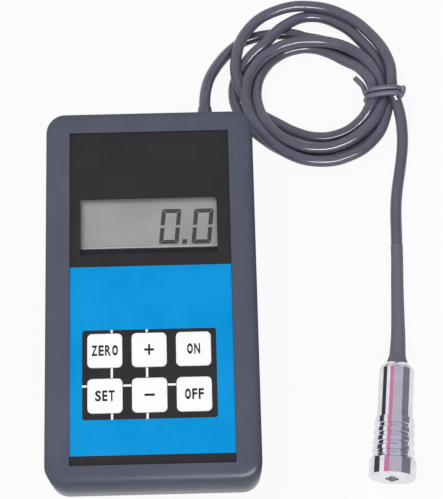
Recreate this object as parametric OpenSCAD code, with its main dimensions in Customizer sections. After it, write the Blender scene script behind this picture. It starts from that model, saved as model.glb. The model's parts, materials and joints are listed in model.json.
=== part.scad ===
// Coating thickness gauge: a hand-held case with a display and six keys, and a chrome probe on a tied cable.
// Millimetres. The origin is in the middle of the case's back face, on which the gauge lies.
// +X is to the right of the display, +Y towards the cable end and +Z out of the display.

/* [Case] */
// Width of the case
case_w = 70; // [64:0.5:80]
// Length of the case
case_l = 127; // [122:0.5:140]
// Corner radius of the case in plan
corner_r = 6.5; // [6:0.1:9]
// Radius of the edge round the display face
front_round = 4.8; // [3:0.1:5.6]
// Radius of the edge round the back
back_round = 2.2; // [2:0.1:5]
// Thickness of the case walls and of the back
wall = 2.2; // [1.8:0.1:3]
// Height of the joint line between the two shells
split_z = 11; // [9:0.1:12.5]
// Step of the rear shell inside the front shell's outline
rear_step = 0.15; // [0.1:0.05:0.5]
// Thickness of the tongue that locates the two shells
tongue_t = 0.9; // [0.6:0.1:1.1]
// Height of that tongue
tongue_h = 1.4; // [1:0.1:2]
// Distance of the screw bosses from the case's sides
boss_inset = 7.5; // [7:0.1:9]
// Radius of the rear bosses
boss_r = 4; // [3.6:0.1:4.4]
// Depth of the counterbores for the case screws
counterbore_h = 5; // [4:0.1:6]

/* [Front panel] */
// Margin of the case beside the panel
bezel_side = 8.4; // [7:0.1:9]
// Margin of the case above the panel
bezel_top = 8.2; // [7:0.1:10]
// Margin of the case below the panel
bezel_bottom = 5.6; // [5:0.1:8]
// Depth of the recess that takes the panel overlay
recess_depth = 1; // [0.6:0.1:1.4]
// Thickness of the panel overlay
overlay_t = 0.4; // [0.2:0.05:0.5]
// Thickness of the case wall under the overlay
plate_t = 1.6; // [1.4:0.1:2.4]

/* [Display] */
// Width of the opening that shows the display
display_w = 45.3; // [40:0.1:46]
// Height of that opening
display_h = 19.3; // [16:0.1:22]
// Sideways place of the display's middle
display_x = -0.4; // [-1:0.1:1]
// Distance of the display's middle from the panel's upper edge
display_drop = 33.2; // [28:0.1:36]
// Thickness of the clear window
window_t = 0.8; // [0.5:0.1:1]
// Lap of the window and the display glass past the opening
window_lap = 2; // [1.5:0.1:2.4]
// Thickness of each of the two glass plates of the display
glass_t = 1.05; // [0.7:0.05:1.2]
// Height of the contact ledge that shows below the front glass
ledge_show = 2.6; // [1.5:0.1:3.5]
// Wall of the frame that holds the display
lcd_frame_t = 1.5; // [1:0.1:2]
// Depth of the rubber contact strips
strip_d = 2; // [1.4:0.1:2.2]

/* [Keys] */
// Side of a key
key_size = 11.4; // [10:0.1:12.4]
// Gap between key columns
key_gap_x = 3; // [2.6:0.1:3.6]
// Gap between key rows
key_gap_y = 3.6; // [2.6:0.1:5]
// Sideways place of the middle key column
keypad_x = -0.75; // [-2:0.05:2]
// Distance of the lower key row from the panel's lower edge
keypad_rise = 22.5; // [18:0.1:26]
// Corner radius of a key
key_r = 1.6; // [0.8:0.1:2]
// Radius of the edge round a key's top
key_round = 0.35; // [0.2:0.05:0.6]
// Height of a key above the overlay
key_proud = 0.4; // [0.2:0.05:0.8]
// Clearance round a key
key_gap = 0.15; // [0.1:0.05:0.3]
// Travel of a key
key_travel = 0.5; // [0.3:0.05:0.8]
// Width of the flange that keeps a key in the case
flange_w = 0.8; // [0.5:0.1:1]
// Thickness of that flange
flange_t = 0.5; // [0.4:0.05:0.8]
// Side of a key switch
switch_w = 6.2; // [5:0.1:7]
// Height of a key switch
switch_h = 2.4; // [2:0.1:4]
// Radius of a switch plunger
plunger_r = 1.6; // [1:0.1:2]

/* [Board] */
// Thickness of the circuit board
board_t = 1.6; // [1:0.1:2]
// Gap between the board and the case walls
board_gap = 0.6; // [0.4:0.1:1]
// Radius of the posts that carry the board
post_r = 2.2; // [1.9:0.1:2.5]
// Distance of those posts from the case's sides
post_inset = 5.5; // [5:0.1:6]
// Distance of the upper posts from the case's upper end
post_top = 19.5; // [18:0.1:22]
// Distance of the lower posts from the case's lower end
post_bottom = 17.5; // [15:0.1:19]
// Length of the converter chip
chip_l = 51; // [40:0.5:53]
// Width of the converter chip
chip_w = 13.8; // [10:0.1:15]
// Thickness of the converter chip
chip_t = 4; // [3:0.1:5]

/* [Battery] */
// Width of the nine-volt battery
battery_w = 26.5; // [25:0.1:28]
// Length of the battery without its studs
battery_l = 46; // [44:0.1:48]
// Thickness of the battery
battery_t = 17.5; // [16:0.1:18.5]
// Distance between the battery's studs
stud_pitch = 12.7; // [11:0.1:14]
// Radius of the battery's studs
stud_r = 2.9; // [2.4:0.1:3.2]
// Height of the battery's studs
stud_h = 2.6; // [2:0.1:3]
// Thickness of the battery snap
snap_t = 4.4; // [3.8:0.1:5]
// Thickness of the battery bay's walls
bay_wall = 1.4; // [1:0.1:2]
// Thickness of the lips that hold the battery door
lip_t = 0.8; // [0.6:0.05:0.9]
// Depth of the grooves that the door slides in
groove_d = 1.5; // [1:0.1:2]
// Step of the battery door inside the case's back
door_step = 0.2; // [0.1:0.05:0.3]

/* [Cable] */
// Diameter of the probe cable
cable_d = 4; // [3.6:0.1:4.4]
// Sideways place of the cable's exit
exit_x = 19; // [15:0.1:20]
// Length of the grommet's tail outside the case
grommet_l = 7; // [6:0.1:9]
// Outer radius of the tied coil
coil_r = 31.7; // [30:0.1:32]
// Height of the tied coil
coil_h = 9; // [8:0.1:9.5]
// Thickness of the tie round the coil
tie_t = 1.3; // [1:0.1:1.6]
// Width of the tie
tie_w = 5; // [4:0.1:6]

/* [Probe] */
// Radius of the probe's barrel
barrel_r = 5.9; // [5.6:0.1:6.2]
// Distance from the probe's top to the grip
barrel_l = 19.4; // [15:0.1:20]
// Length of the ribbed grip
grip_l = 14.1; // [12:0.1:16]
// Radius of the grip where it starts
grip_r = 6.6; // [6.4:0.1:7]
// Radius of the grip where it ends
grip_end_r = 7.1; // [7:0.1:7.4]
// Number of bands on the grip
band_count = 5; // [4:1:7]
// Depth of the grooves between the bands
band_groove = 0.5; // [0.3:0.05:0.6]
// Radius of the probe's foot ring
foot_r = 7.8; // [7.5:0.1:8.2]
// Length of the foot ring
foot_l = 6; // [5.5:0.1:9]
// Wall of the barrel's spigot in the grip
spigot_wall = 0.9; // [0.7:0.05:1]
// Radius of the measuring core
core_r = 2; // [1.6:0.1:2.2]
// Travel of the measuring core
core_travel = 0.8; // [0.4:0.05:1]
// Wire diameter of the probe spring
spring_wire = 0.6; // [0.4:0.05:0.7]
// Number of turns of the probe spring
spring_turns = 8; // [6:1:10]
// Sideways lean of the probe on the table, in degrees
probe_lean = 5.8; // [0:0.1:10]

/* [Hidden] */
$fn = 64;

// Clearance between pieces that are only fitted together
fit = 0.1;
// Running clearance of a sliding piece
run = 0.05;
// Overrun of a cut past the face that it opens
over = 1;

// The case's height follows from what is stacked in it, from the back to the display face.
battery_gap = 0.1;
board_room = 0.5;
key_room = switch_h + run + key_travel + flange_t + run;
battery_z = wall + battery_gap;
board_z = battery_z + battery_t + board_room;
board_top = board_z + board_t;
plate_z = board_top + key_room;
recess_z = plate_z + plate_t;
case_h = recess_z + recess_depth;
overlay_top = recess_z + overlay_t;

// Panel, display and key places
panel_w = case_w - 2 * bezel_side;
panel_l = case_l - bezel_top - bezel_bottom;
panel_y = (bezel_bottom - bezel_top) / 2;
display_y = panel_y + panel_l / 2 - display_drop;
opening_margin = 0.5;
rebate_w = display_w + 2 * (opening_margin + window_lap);
rebate_h = display_h + 2 * (opening_margin + window_lap);
lcd_top = plate_z - fit;
lcd_z = lcd_top - 2 * glass_t;
key_pitch_x = key_size + key_gap_x;
key_pitch_y = key_size + key_gap_y;
key_top = overlay_top + key_proud;
flange_z = plate_z - run - flange_t;
plunger_depth = key_travel + 0.8;
well_depth = plunger_depth + 0.1;
upper_row_y = panel_y - panel_l / 2 + keypad_rise + key_pitch_y;

// Bosses, posts and their screws
boss_x = case_w / 2 - boss_inset;
boss_y = case_l / 2 - boss_inset;
front_boss_r = boss_r - 0.8;
screw_r = 1.4;
screw_head_r = 2.6;
screw_head_h = 1.8;
screw_bite = 9;
post_x = case_w / 2 - post_inset;
post_places = [for (x = [-post_x, post_x], y = [case_l / 2 - post_top, -case_l / 2 + post_bottom]) [x, y]];
small_screw_r = 0.9;
small_head_r = 1.9;
small_head_h = 1.1;
small_bite = key_room - 0.6;

// Probe header on the underside of the board, behind the cable's exit, and the chip below it
header_size = [6, 5, 5.5];
header_aside = 5;
header_back = 20;
header_place = [exit_x - header_aside, case_l / 2 - header_back];
chip_pin_reach = 0.8;
chip_clear = 3.7;
chip_y = header_place[1] - chip_clear - chip_pin_reach - chip_w / 2;

// Battery bay and its sliding door
bay_margin = 5;
bay_side = 0.75;
bay_end = 1.2;
bay_x = battery_w / 2 + bay_side;
bay_y = -case_l / 2 + bay_margin;
bay_l = battery_l + snap_t + bay_end;
bay_top = bay_y + bay_l;
bay_wall_z = split_z - 0.8;
battery_y = bay_y + bay_end / 2;
snap_y = battery_y + battery_l;
slide_gap = 0.2;
slot_x = bay_x + 0.6;
groove_x = slot_x + groove_d;
groove_top = wall - 0.3;
door_end = bay_top + 1.2;
pad_t = 1.2;
pad_x = groove_x + 2;

// Cable: the tube follows route points that were chosen by hand.
cable_r = cable_d / 2;
tube_sides = 10;
exit_y = case_l / 2;
grommet_neck_r = cable_r + 0.95;
cable_start_y = exit_y - wall - 3.3;
lead_route = [[exit_x, cable_start_y, split_z], [exit_x, exit_y, split_z], [exit_x, exit_y + grommet_l, split_z],
    [19.2, 75, 10.4], [19.8, 79, 8.9], [20.9, 83, 7.3], [22.7, 87, 5.7], [25.2, 91.2, 4.1], [28.2, 95, 2.9],
    [31.5, 98, 2.2], [35, 100, 2]];
tail_route = [[86.6, 73.4, 5.6], [87.8, 68.4, 4.4], [88.3, 63.4, 3.2], [88.2, 58, 2.4], [87.5, 52.6, 2],
    [86.5, 47, 2], [85.5, 41.5, 2], [84.8, 36, 2], [84.5, 31, 2], [84.4, 26.8, 2.1], [84.2, 21, 2.4]];
boot_route = [[84.2, 21, 2.4], [84, 15.2, 2.7], [83.6, 8, 3.1], [83.3, 1, 3.5], [83, -6, 4], [82.6, -13, 4.7]];
boot_radii = [2.1, 2.2, 2.35, 2.5, 2.6, 2.7, 2.85, 3.4];

// Tied coil and its tie
coil_x = 58.6;
coil_y = 81.7;
coil_flat_x = 88;
coil_eye_r = 15.7;
coil_eye_y = 78.8;
coil_eye_x0 = 55.4;
coil_eye_x1 = 61;
tie_y = 77;
tie_side = 0.3;
tie_x0 = coil_eye_x1 + coil_eye_r - tie_side;
tie_x1 = coil_flat_x + tie_side;
tie_round = 2;

// Probe: it lies on its foot ring and on the barrel's top edge, which sets its slope.
cap_h = 2;
cap_r = barrel_r - 0.85;
cap_chamfer = 0.4;
plug_h = 3;
foot_s = barrel_l + grip_l;
last_band = 0.6;
band_pitch = grip_l / (band_count - 1 + last_band);
probe_l = foot_s + foot_l;
probe_rest = 0.02;
probe_slope = atan((foot_r - barrel_r) / (foot_s - cap_h));
probe_top = [81.7, -21.9, probe_rest + barrel_r * cos(probe_slope) - cap_h * sin(probe_slope)];
probe_dir = [-sin(probe_lean) * cos(probe_slope), -cos(probe_lean) * cos(probe_slope), sin(probe_slope)];
spigot_r = barrel_r - 0.7;
spigot_l = 6.2;
spigot_end = barrel_l + spigot_l;
barrel_bore_r = spigot_r - spigot_wall;
foot_wall = 1.5;
chamber_end = probe_l - foot_wall;
bobbin_r = barrel_bore_r + 0.2;
bobbin_s = spigot_end + 0.3;
bobbin_tube_r = core_r + 0.8;
bobbin_flange = 1.2;
core_bore_r = core_r + run;
tip_out = core_travel + fit;
core_flange_r = barrel_bore_r - 0.6;
core_flange_h = 1;
core_flange_s = bobbin_s - run - core_flange_h;
core_top = core_flange_s - 1.6;
spring_r = core_flange_r - spring_wire / 2 - 0.1;
spring_s0 = cap_h + plug_h + spring_wire / 2 + run;
spring_s1 = core_flange_s - spring_wire / 2 - run;
spring_sides = 6;
spring_steps = 12;
foot_chamfer = 0.6;

// A rectangle with round corners, about its middle
module rounded_rect(w, l, r) {
    square([w - 2 * r, l], center = true);
    square([w, l - 2 * r], center = true);
    for (x = [-1, 1], y = [-1, 1])
        translate([x * (w / 2 - r), y * (l / 2 - r)]) circle(r);
}

// The case's outline in plan, moved inwards by a margin
module case_plan(inset = 0) {
    rounded_rect(case_w - 2 * inset, case_l - 2 * inset, corner_r - inset);
}

// Cross-section of a slab of thickness f whose two upper edges are quarter rounds
module roll_profile(w, f) {
    translate([f - w / 2, 0]) square([w - 2 * f, f]);
    intersection() {
        for (side = [-1, 1]) translate([side * (w / 2 - f), 0]) circle(f);
        translate([-w / 2, 0]) square([w, f]);
    }
}

// A slab of thickness f with round corners in plan and a quarter round along its whole upper edge
module rolled_slab(w, l, r, f) {
    rotate([90, 0, 0]) linear_extrude(l - 2 * r, center = true) roll_profile(w, f);
    rotate([90, 0, 90]) linear_extrude(w - 2 * r, center = true) roll_profile(l, f);
    for (quarter = [0 : 3]) {
        x = quarter == 0 || quarter == 3 ? 1 : -1;
        y = quarter < 2 ? 1 : -1;
        translate([x * (w / 2 - r), y * (l / 2 - r), 0]) rotate(90 * quarter)
            rotate_extrude(angle = 90) intersection() {
                roll_profile(2 * r, f);
                square([r, f]);
            }
    }
}

// A ring of the case's outline, between two margins
module case_ring(outer_inset, inner_inset, h) {
    linear_extrude(h) difference() {
        case_plan(outer_inset);
        case_plan(inner_inset);
    }
}

module at_corners(x, y) {
    for (sx = [-1, 1], sy = [-1, 1]) translate([sx * x, sy * y, 0]) children();
}

// Key number counts along the upper row first
function key_place(number) = [keypad_x + (number % 3 - 1) * key_pitch_x, upper_row_y - floor(number / 3) * key_pitch_y];

module at_keys() {
    for (number = [0 : 5]) translate(key_place(number)) children();
}

// The hole for the cable grommet, on the joint line of the two shells
module grommet_hole() {
    translate([exit_x, exit_y - 2 * wall, split_z]) rotate([-90, 0, 0]) cylinder(h = 3 * wall, r = grommet_neck_r + run);
}

module front_outside() {
    translate([0, 0, split_z]) linear_extrude(case_h - front_round - split_z) case_plan();
    translate([0, 0, case_h - front_round]) rolled_slab(case_w, case_l, corner_r, front_round);
}

module front_shell() {
    color("slategray") difference() {
        union() {
            difference() {
                front_outside();
                translate([0, 0, split_z - over]) linear_extrude(plate_z - split_z + over) case_plan(wall);
                translate([0, 0, split_z - over]) linear_extrude(tongue_h + fit + over) case_plan(wall - tongue_t - fit);
            }
            at_corners(boss_x, boss_y)
                translate([0, 0, split_z]) cylinder(h = plate_z - split_z + run, r = front_boss_r);
            for (place = post_places)
                translate([place[0], place[1], board_top]) cylinder(h = key_room + run, r = post_r);
        }
        translate([0, panel_y, recess_z]) linear_extrude(recess_depth + over)
            square([panel_w + 2 * fit, panel_l + 2 * fit], center = true);
        translate([display_x, display_y, recess_z - window_t]) linear_extrude(window_t + over)
            square([rebate_w, rebate_h], center = true);
        translate([display_x, display_y, plate_z - over]) linear_extrude(plate_t + 2 * over)
            square([display_w + 2 * opening_margin, display_h + 2 * opening_margin], center = true);
        at_keys() translate([0, 0, plate_z - over]) linear_extrude(plate_t + 2 * over)
            rounded_rect(key_size + 2 * key_gap, key_size + 2 * key_gap, key_r + key_gap);
        at_corners(boss_x, boss_y)
            translate([0, 0, split_z - over]) cylinder(h = screw_bite + 2 * over, r = screw_r + run);
        for (place = post_places)
            translate([place[0], place[1], board_top - over]) cylinder(h = small_bite + over, r = small_screw_r + run);
        grommet_hole();
    }
}

module rear_outside() {
    w = case_w - 2 * rear_step;
    l = case_l - 2 * rear_step;
    translate([0, 0, back_round]) mirror([0, 0, 1]) rolled_slab(w, l, corner_r - rear_step, back_round);
    translate([0, 0, back_round]) linear_extrude(split_z - back_round) case_plan(rear_step);
}

// Room for the battery door: a slot in the back with a groove on each side, open at the lower end
module door_slot() {
    y0 = -case_l / 2 - over;
    translate([-slot_x, y0, -over]) cube([2 * slot_x, door_end - y0, groove_top + over]);
    translate([-groove_x, y0, lip_t]) cube([2 * groove_x, door_end - y0, groove_top - lip_t]);
}

module bay_walls() {
    translate([0, bay_y + bay_l / 2, wall]) linear_extrude(bay_wall_z - wall) difference() {
        square([2 * (bay_x + bay_wall), bay_l + 2 * bay_wall], center = true);
        square([2 * bay_x, bay_l], center = true);
    }
}

module rear_shell() {
    color("slategray") difference() {
        union() {
            difference() {
                rear_outside();
                translate([0, 0, wall]) linear_extrude(split_z) case_plan(wall);
            }
            translate([0, 0, split_z]) case_ring(wall - tongue_t, wall, tongue_h);
            translate([0, 0, split_z - tongue_h]) case_ring(wall - tongue_t, wall, tongue_h);
            intersection() {
                translate([-pad_x, -case_l / 2, 0]) cube([2 * pad_x, door_end + pad_t + case_l / 2, wall + pad_t]);
                rear_outside();
            }
            bay_walls();
            at_corners(boss_x, boss_y) translate([0, 0, wall / 2]) cylinder(h = split_z - wall / 2, r = boss_r);
        }
        door_slot();
        translate([-bay_x, bay_y, -over]) cube([2 * bay_x, bay_l, split_z]);
        at_corners(boss_x, boss_y) {
            translate([0, 0, -over]) cylinder(h = counterbore_h + over, r = screw_head_r + 3 * fit);
            translate([0, 0, -over]) cylinder(h = split_z + 2 * over, r = screw_r + 2 * fit);
        }
        grommet_hole();
    }
}

module battery_door() {
    grip_w = 14;
    grip_pitch = 2;
    color("slategray") difference() {
        intersection() {
            union() {
                translate([slide_gap - slot_x, -case_l / 2, door_step])
                    cube([2 * (slot_x - slide_gap), door_end + case_l / 2, groove_top - fit - door_step]);
                translate([slide_gap - groove_x, -case_l / 2, lip_t + fit])
                    cube([2 * (groove_x - slide_gap), door_end + case_l / 2, groove_top - lip_t - 2 * fit]);
            }
            rear_outside();
        }
        for (rib = [0 : 3])
            translate([-grip_w / 2, bay_y + 4 + rib * grip_pitch, 0]) cube([grip_w, grip_pitch / 2, 2 * door_step]);
    }
}

module case_screws() {
    color("silver") at_corners(boss_x, boss_y) {
        translate([0, 0, counterbore_h - screw_head_h]) cylinder(h = screw_head_h, r = screw_head_r);
        translate([0, 0, counterbore_h]) cylinder(h = split_z + screw_bite - counterbore_h, r = screw_r);
    }
}

module panel_overlay() {
    color("black") translate([0, 0, recess_z]) linear_extrude(overlay_t) difference() {
        translate([0, panel_y]) square([panel_w, panel_l], center = true);
        translate([display_x, display_y]) square([display_w, display_h], center = true);
        at_keys() rounded_rect(key_size + 2 * key_gap, key_size + 2 * key_gap, key_r + key_gap);
    }
}

module display_window() {
    color("lightcyan", 0.4) translate([display_x, display_y, recess_z - window_t])
        linear_extrude(window_t) square([rebate_w - 2 * fit, rebate_h - 2 * fit], center = true);
}

// Two bonded plates of glass: the front one stops short of the contact ledge
module lcd_glass() {
    low = display_y - rebate_h / 2;
    front_low = display_y - display_h / 2 + ledge_show;
    color("darkgray") {
        translate([display_x - rebate_w / 2, low, lcd_z]) cube([rebate_w, rebate_h, glass_t]);
        translate([display_x - rebate_w / 2, front_low, lcd_z + glass_t])
            cube([rebate_w, low + rebate_h - front_low, glass_t]);
    }
}

module lcd_frame() {
    color("dimgray") translate([display_x, display_y, board_top]) linear_extrude(lcd_top - board_top) difference() {
        square([rebate_w + 2 * (fit + lcd_frame_t), rebate_h + 2 * (fit + lcd_frame_t)], center = true);
        square([rebate_w + 2 * fit, rebate_h + 2 * fit], center = true);
    }
}

module contact_strips() {
    inset = strip_d / 2 + 0.4;
    color("black") for (side = [-1, 1])
        translate([display_x, display_y + side * (rebate_h / 2 - inset), board_top])
            linear_extrude(lcd_z - board_top) square([display_w, strip_d], center = true);
}

module main_board() {
    w = case_w - 2 * (wall + board_gap);
    l = case_l - 2 * (wall + board_gap);
    notch = front_boss_r + board_gap;
    color("darkgreen") translate([0, 0, board_z]) linear_extrude(board_t) difference() {
        square([w, l], center = true);
        for (x = [-1, 1], y = [-1, 1]) translate([x * w / 2, y * l / 2])
            square([2 * (w / 2 - boss_x + notch), 2 * (l / 2 - boss_y + notch)], center = true);
        for (place = post_places) translate(place) circle(small_screw_r + 2 * fit);
    }
}

module board_screws() {
    color("silver") for (place = post_places) translate([place[0], place[1], board_z - small_head_h]) {
        cylinder(h = small_head_h, r = small_head_r);
        cylinder(h = small_head_h + board_t + small_bite - 2 * fit, r = small_screw_r);
    }
}

// A converter chip with two rows of pins, on the underside of the board
module converter_chip() {
    pins = 20;
    pin_w = 0.5;
    lift = 0.6;
    pitch = chip_l / pins;
    color("black") translate([-chip_l / 2, chip_y - chip_w / 2, board_z - lift - chip_t]) {
        cube([chip_l, chip_w, chip_t]);
        for (pin = [0 : pins - 1], side = [0, 1])
            translate([(pin + 0.5) * pitch - pin_w / 2, side == 0 ? -chip_pin_reach : chip_w, chip_t / 2])
                cube([pin_w, chip_pin_reach, chip_t / 2 + lift]);
    }
}

module switch_bodies() {
    color("dimgray") at_keys() difference() {
        translate([0, 0, board_top]) linear_extrude(switch_h) square(switch_w, center = true);
        translate([0, 0, board_top + switch_h - well_depth]) cylinder(h = well_depth + over, r = plunger_r + fit);
    }
}

// A key cap with the flange that keeps it in the case
module key_cap(number) {
    color("white") translate(key_place(number)) {
        translate([0, 0, flange_z]) linear_extrude(key_top - key_round - flange_z)
            rounded_rect(key_size, key_size, key_r);
        translate([0, 0, key_top - key_round]) rolled_slab(key_size, key_size, key_r, key_round);
        translate([0, 0, flange_z]) linear_extrude(flange_t)
            square([key_size + 2 * flange_w, key_size + 2 * flange_w], center = true);
    }
}

// The part of a switch that a key pushes down
module switch_plunger(number) {
    translate(key_place(number)) translate([0, 0, board_top + switch_h - plunger_depth + key_travel])
        color("black") cylinder(h = flange_z - board_top - switch_h + plunger_depth - key_travel, r = plunger_r);
}

module battery() {
    round = 2;
    color("goldenrod") {
        translate([0, battery_y, battery_z + battery_t / 2]) rotate([-90, 0, 0])
            linear_extrude(battery_l) rounded_rect(battery_w, battery_t, round);
        for (side = [-1, 1]) translate([side * stud_pitch / 2, snap_y, battery_z + battery_t / 2])
            rotate([-90, 0, 0]) cylinder(h = stud_h, r = stud_r);
    }
}

module battery_snap() {
    margin = 1.5;
    color("black") difference() {
        translate([margin - battery_w / 2, snap_y, battery_z + margin])
            cube([battery_w - 2 * margin, snap_t, battery_t - 2 * margin]);
        for (side = [-1, 1]) translate([side * stud_pitch / 2, snap_y - over, battery_z + battery_t / 2])
            rotate([-90, 0, 0]) cylinder(h = stud_h + over + fit, r = stud_r + fit);
    }
}

function unit(v) = v / norm(v);
function tangent(path, i) = unit(path[min(i + 1, len(path) - 1)] - path[max(i - 1, 0)]);

// Points of the ring of a tube about one point of its path
function tube_ring(path, i, r, sides) = let (
    along = tangent(path, i),
    aside = unit(cross(along, [0, 0, 1])),
    upward = cross(aside, along)
) [for (k = [0 : sides - 1]) path[i] + r * (cos(360 * k / sides) * aside + sin(360 * k / sides) * upward)];

// A closed tube along a path, with a radius for each of its points
module tube(path, radii, sides) {
    rings = len(path);
    points = [for (i = [0 : rings - 1]) each tube_ring(path, i, radii[i], sides)];
    skin = [for (i = [0 : rings - 2], k = [0 : sides - 1]) let (
        here = i * sides + k,
        beside = i * sides + (k + 1) % sides
    ) each [[here, beside, beside + sides], [here, beside + sides, here + sides]]];
    first = [for (k = [sides - 1 : -1 : 0]) k];
    last = [for (k = [0 : sides - 1]) (rings - 1) * sides + k];
    polyhedron(points = points, faces = concat([first, last], skin));
}

module even_tube(path, r, sides) {
    tube(path, [for (point = path) r], sides);
}

module battery_leads() {
    lead_r = 0.6;
    aside = 6;
    spread = 0.4;
    bend = 3;
    y = snap_y + snap_t + fit;
    z = battery_z + battery_t - 4;
    color("red") for (side = [-1, 1])
        even_tube([[side * aside, y, z], [side * aside, y + bend, z + 0.1 * bend],
            [side * (aside + spread), y + 2 * bend, z + 0.7 * bend],
            [side * (aside + 2 * spread), y + 2.4 * bend, board_z - lead_r / 2]], lead_r, 8);
}

module probe_header() {
    color("ivory") translate([header_place[0], header_place[1], board_z - header_size[2]]) cube(header_size);
}

module probe_leads() {
    lead_r = 0.5;
    y = header_place[1] + header_size[1] + lead_r / 2;
    z = board_z - header_size[2] / 2;
    color("dimgray") for (side = [-1, 1])
        even_tube([[exit_x + side, cable_start_y - fit, split_z], [exit_x + side, cable_start_y - 2, split_z + 0.5],
            [exit_x - 1 + side, y + 2.5, z - 1], [exit_x - 2 + side, y, z]], lead_r, 8);
}

module cable_grommet() {
    collar_r = grommet_neck_r + 0.9;
    flange = 1.8;
    collar = 1;
    tip_r = cable_r + 0.3;
    root_r = grommet_neck_r + 0.1;
    color("black") translate([exit_x, exit_y, split_z]) rotate([-90, 0, 0]) rotate_extrude() polygon([
        [cable_r + run, -wall - flange], [collar_r, -wall - flange], [collar_r, -wall - run],
        [grommet_neck_r, -wall - run], [grommet_neck_r, run], [collar_r, run], [collar_r, collar],
        [root_r, collar], [tip_r, grommet_l], [cable_r + run, grommet_l]]);
}

module cable_lead() {
    color("dimgray") even_tube(lead_route, cable_r, tube_sides);
}

// The tied turns as one closed solid: a disc with a flat at the tie, and an eye
module cable_coil() {
    color("dimgray") difference() {
        linear_extrude(coil_h) difference() {
            intersection() {
                translate([coil_x, coil_y]) circle(coil_r);
                translate([coil_flat_x - 3 * coil_r, coil_y - 2 * coil_r]) square([3 * coil_r, 4 * coil_r]);
            }
            for (x = [coil_eye_x0, coil_eye_x1]) translate([x, coil_eye_y]) circle(coil_eye_r);
            translate([coil_eye_x0, coil_eye_y - coil_eye_r]) square([coil_eye_x1 - coil_eye_x0, 2 * coil_eye_r]);
        }
        tie_band(run);
    }
}

// A flat band round the bundled turns, grown by a margin where it is cut from the coil
module tie_band(margin) {
    w = tie_x1 - tie_x0;
    h = coil_h + 2 * tie_side - tie_t;
    translate([(tie_x0 + tie_x1) / 2, tie_y, tie_t + h / 2]) rotate([90, 0, 0])
        linear_extrude(tie_w + 2 * margin, center = true) difference() {
            rounded_rect(w + 2 * (tie_t + margin), h + 2 * (tie_t + margin), tie_round);
            rounded_rect(w - 2 * margin, h - 2 * margin, tie_round - tie_t);
        }
}

module cable_tie() {
    color("dimgray") tie_band(0);
}

module cable_tail() {
    color("dimgray") even_tube(tail_route, cable_r, tube_sides);
}

// Shrink sleeve that stiffens the cable behind the probe and flares onto its cap
module cable_boot() {
    path = concat(boot_route, [probe_top - 3 * probe_dir, probe_top]);
    color("dimgray") tube(path, boot_radii, 24);
}

// Places a piece that is modelled about +Z, from the probe's top at 0 towards its tip
module along_probe() {
    translate(probe_top) rotate([0, 0, -probe_lean]) rotate([90 - probe_slope, 0, 0]) children();
}

module probe_cap() {
    hole_r = 1.6;
    color("silver") along_probe() rotate_extrude() polygon([
        [hole_r, 0], [cap_r - cap_chamfer, 0], [cap_r, cap_chamfer], [cap_r, cap_h],
        [barrel_bore_r - run, cap_h], [barrel_bore_r - run, cap_h + plug_h], [hole_r, cap_h + plug_h]]);
}

module probe_barrel() {
    edge = 0.35;
    color("silver") along_probe() rotate_extrude() polygon([
        [barrel_bore_r, cap_h], [barrel_r - edge, cap_h], [barrel_r, cap_h + edge], [barrel_r, barrel_l],
        [spigot_r, barrel_l], [spigot_r, spigot_end], [barrel_bore_r, spigot_end]]);
}

// Outline of the ribbed grip: each band ends in a groove with sloping flanks, and the last band is short
function grip_at(s) = grip_r + (grip_end_r - grip_r) * (s - barrel_l) / grip_l;
function band_points(i) = let (
    s0 = barrel_l + i * band_pitch,
    s1 = min(s0 + band_pitch, foot_s),
    flank = band_pitch / 8
) [
    [grip_at(s0) - (i == 0 ? 0 : band_groove), s0 + (i == 0 ? run : flank)],
    [grip_at(s0), s0 + 2 * flank],
    [grip_at(s1), s1 - 2 * flank],
    [grip_at(s1) - band_groove, s1 - flank]
];

module probe_sleeve() {
    bore_r = spigot_r + run;
    color("silver") along_probe() rotate_extrude() polygon(concat(
        [for (i = [0 : band_count - 1]) each band_points(i)],
        [[foot_r, foot_s], [foot_r, probe_l - foot_chamfer], [foot_r - foot_chamfer, probe_l],
         [core_r + 2 * fit, probe_l], [core_r + 2 * fit, chamber_end], [bobbin_r + run, chamber_end],
         [bobbin_r + run, spigot_end + run], [bore_r, spigot_end + run], [bore_r, barrel_l + run]]));
}

module probe_bobbin() {
    color("ivory") along_probe() rotate_extrude() polygon([
        [core_bore_r, bobbin_s], [bobbin_r, bobbin_s], [bobbin_r, bobbin_s + bobbin_flange],
        [bobbin_tube_r, bobbin_s + bobbin_flange], [bobbin_tube_r, chamber_end - run - bobbin_flange],
        [bobbin_r, chamber_end - run - bobbin_flange], [bobbin_r, chamber_end - run],
        [core_bore_r, chamber_end - run]]);
}

module probe_winding() {
    s0 = bobbin_s + bobbin_flange + run;
    s1 = chamber_end - bobbin_flange - 2 * run;
    color("peru") along_probe() translate([0, 0, s0]) linear_extrude(s1 - s0) difference() {
        circle(bobbin_r - 0.3);
        circle(bobbin_tube_r + run);
    }
}

module probe_spring() {
    count = spring_turns * spring_steps;
    path = [for (i = [0 : count]) let (angle = 360 * i / spring_steps)
        [spring_r * cos(angle), spring_r * sin(angle), spring_s0 + (spring_s1 - spring_s0) * i / count]];
    color("gray") along_probe() even_tube(path, spring_wire / 2, spring_sides);
}

// Iron core with a flange that the spring pushes on and a domed measuring tip
module probe_core() {
    dome_s = probe_l + tip_out - core_r;
    color("gray") along_probe() {
        translate([0, 0, core_top]) cylinder(h = dome_s - core_top, r = core_r);
        translate([0, 0, core_flange_s]) cylinder(h = core_flange_h, r = core_flange_r);
        translate([0, 0, dome_s]) rotate_extrude() intersection() {
            circle(core_r);
            square(core_r);
        }
    }
}

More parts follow.
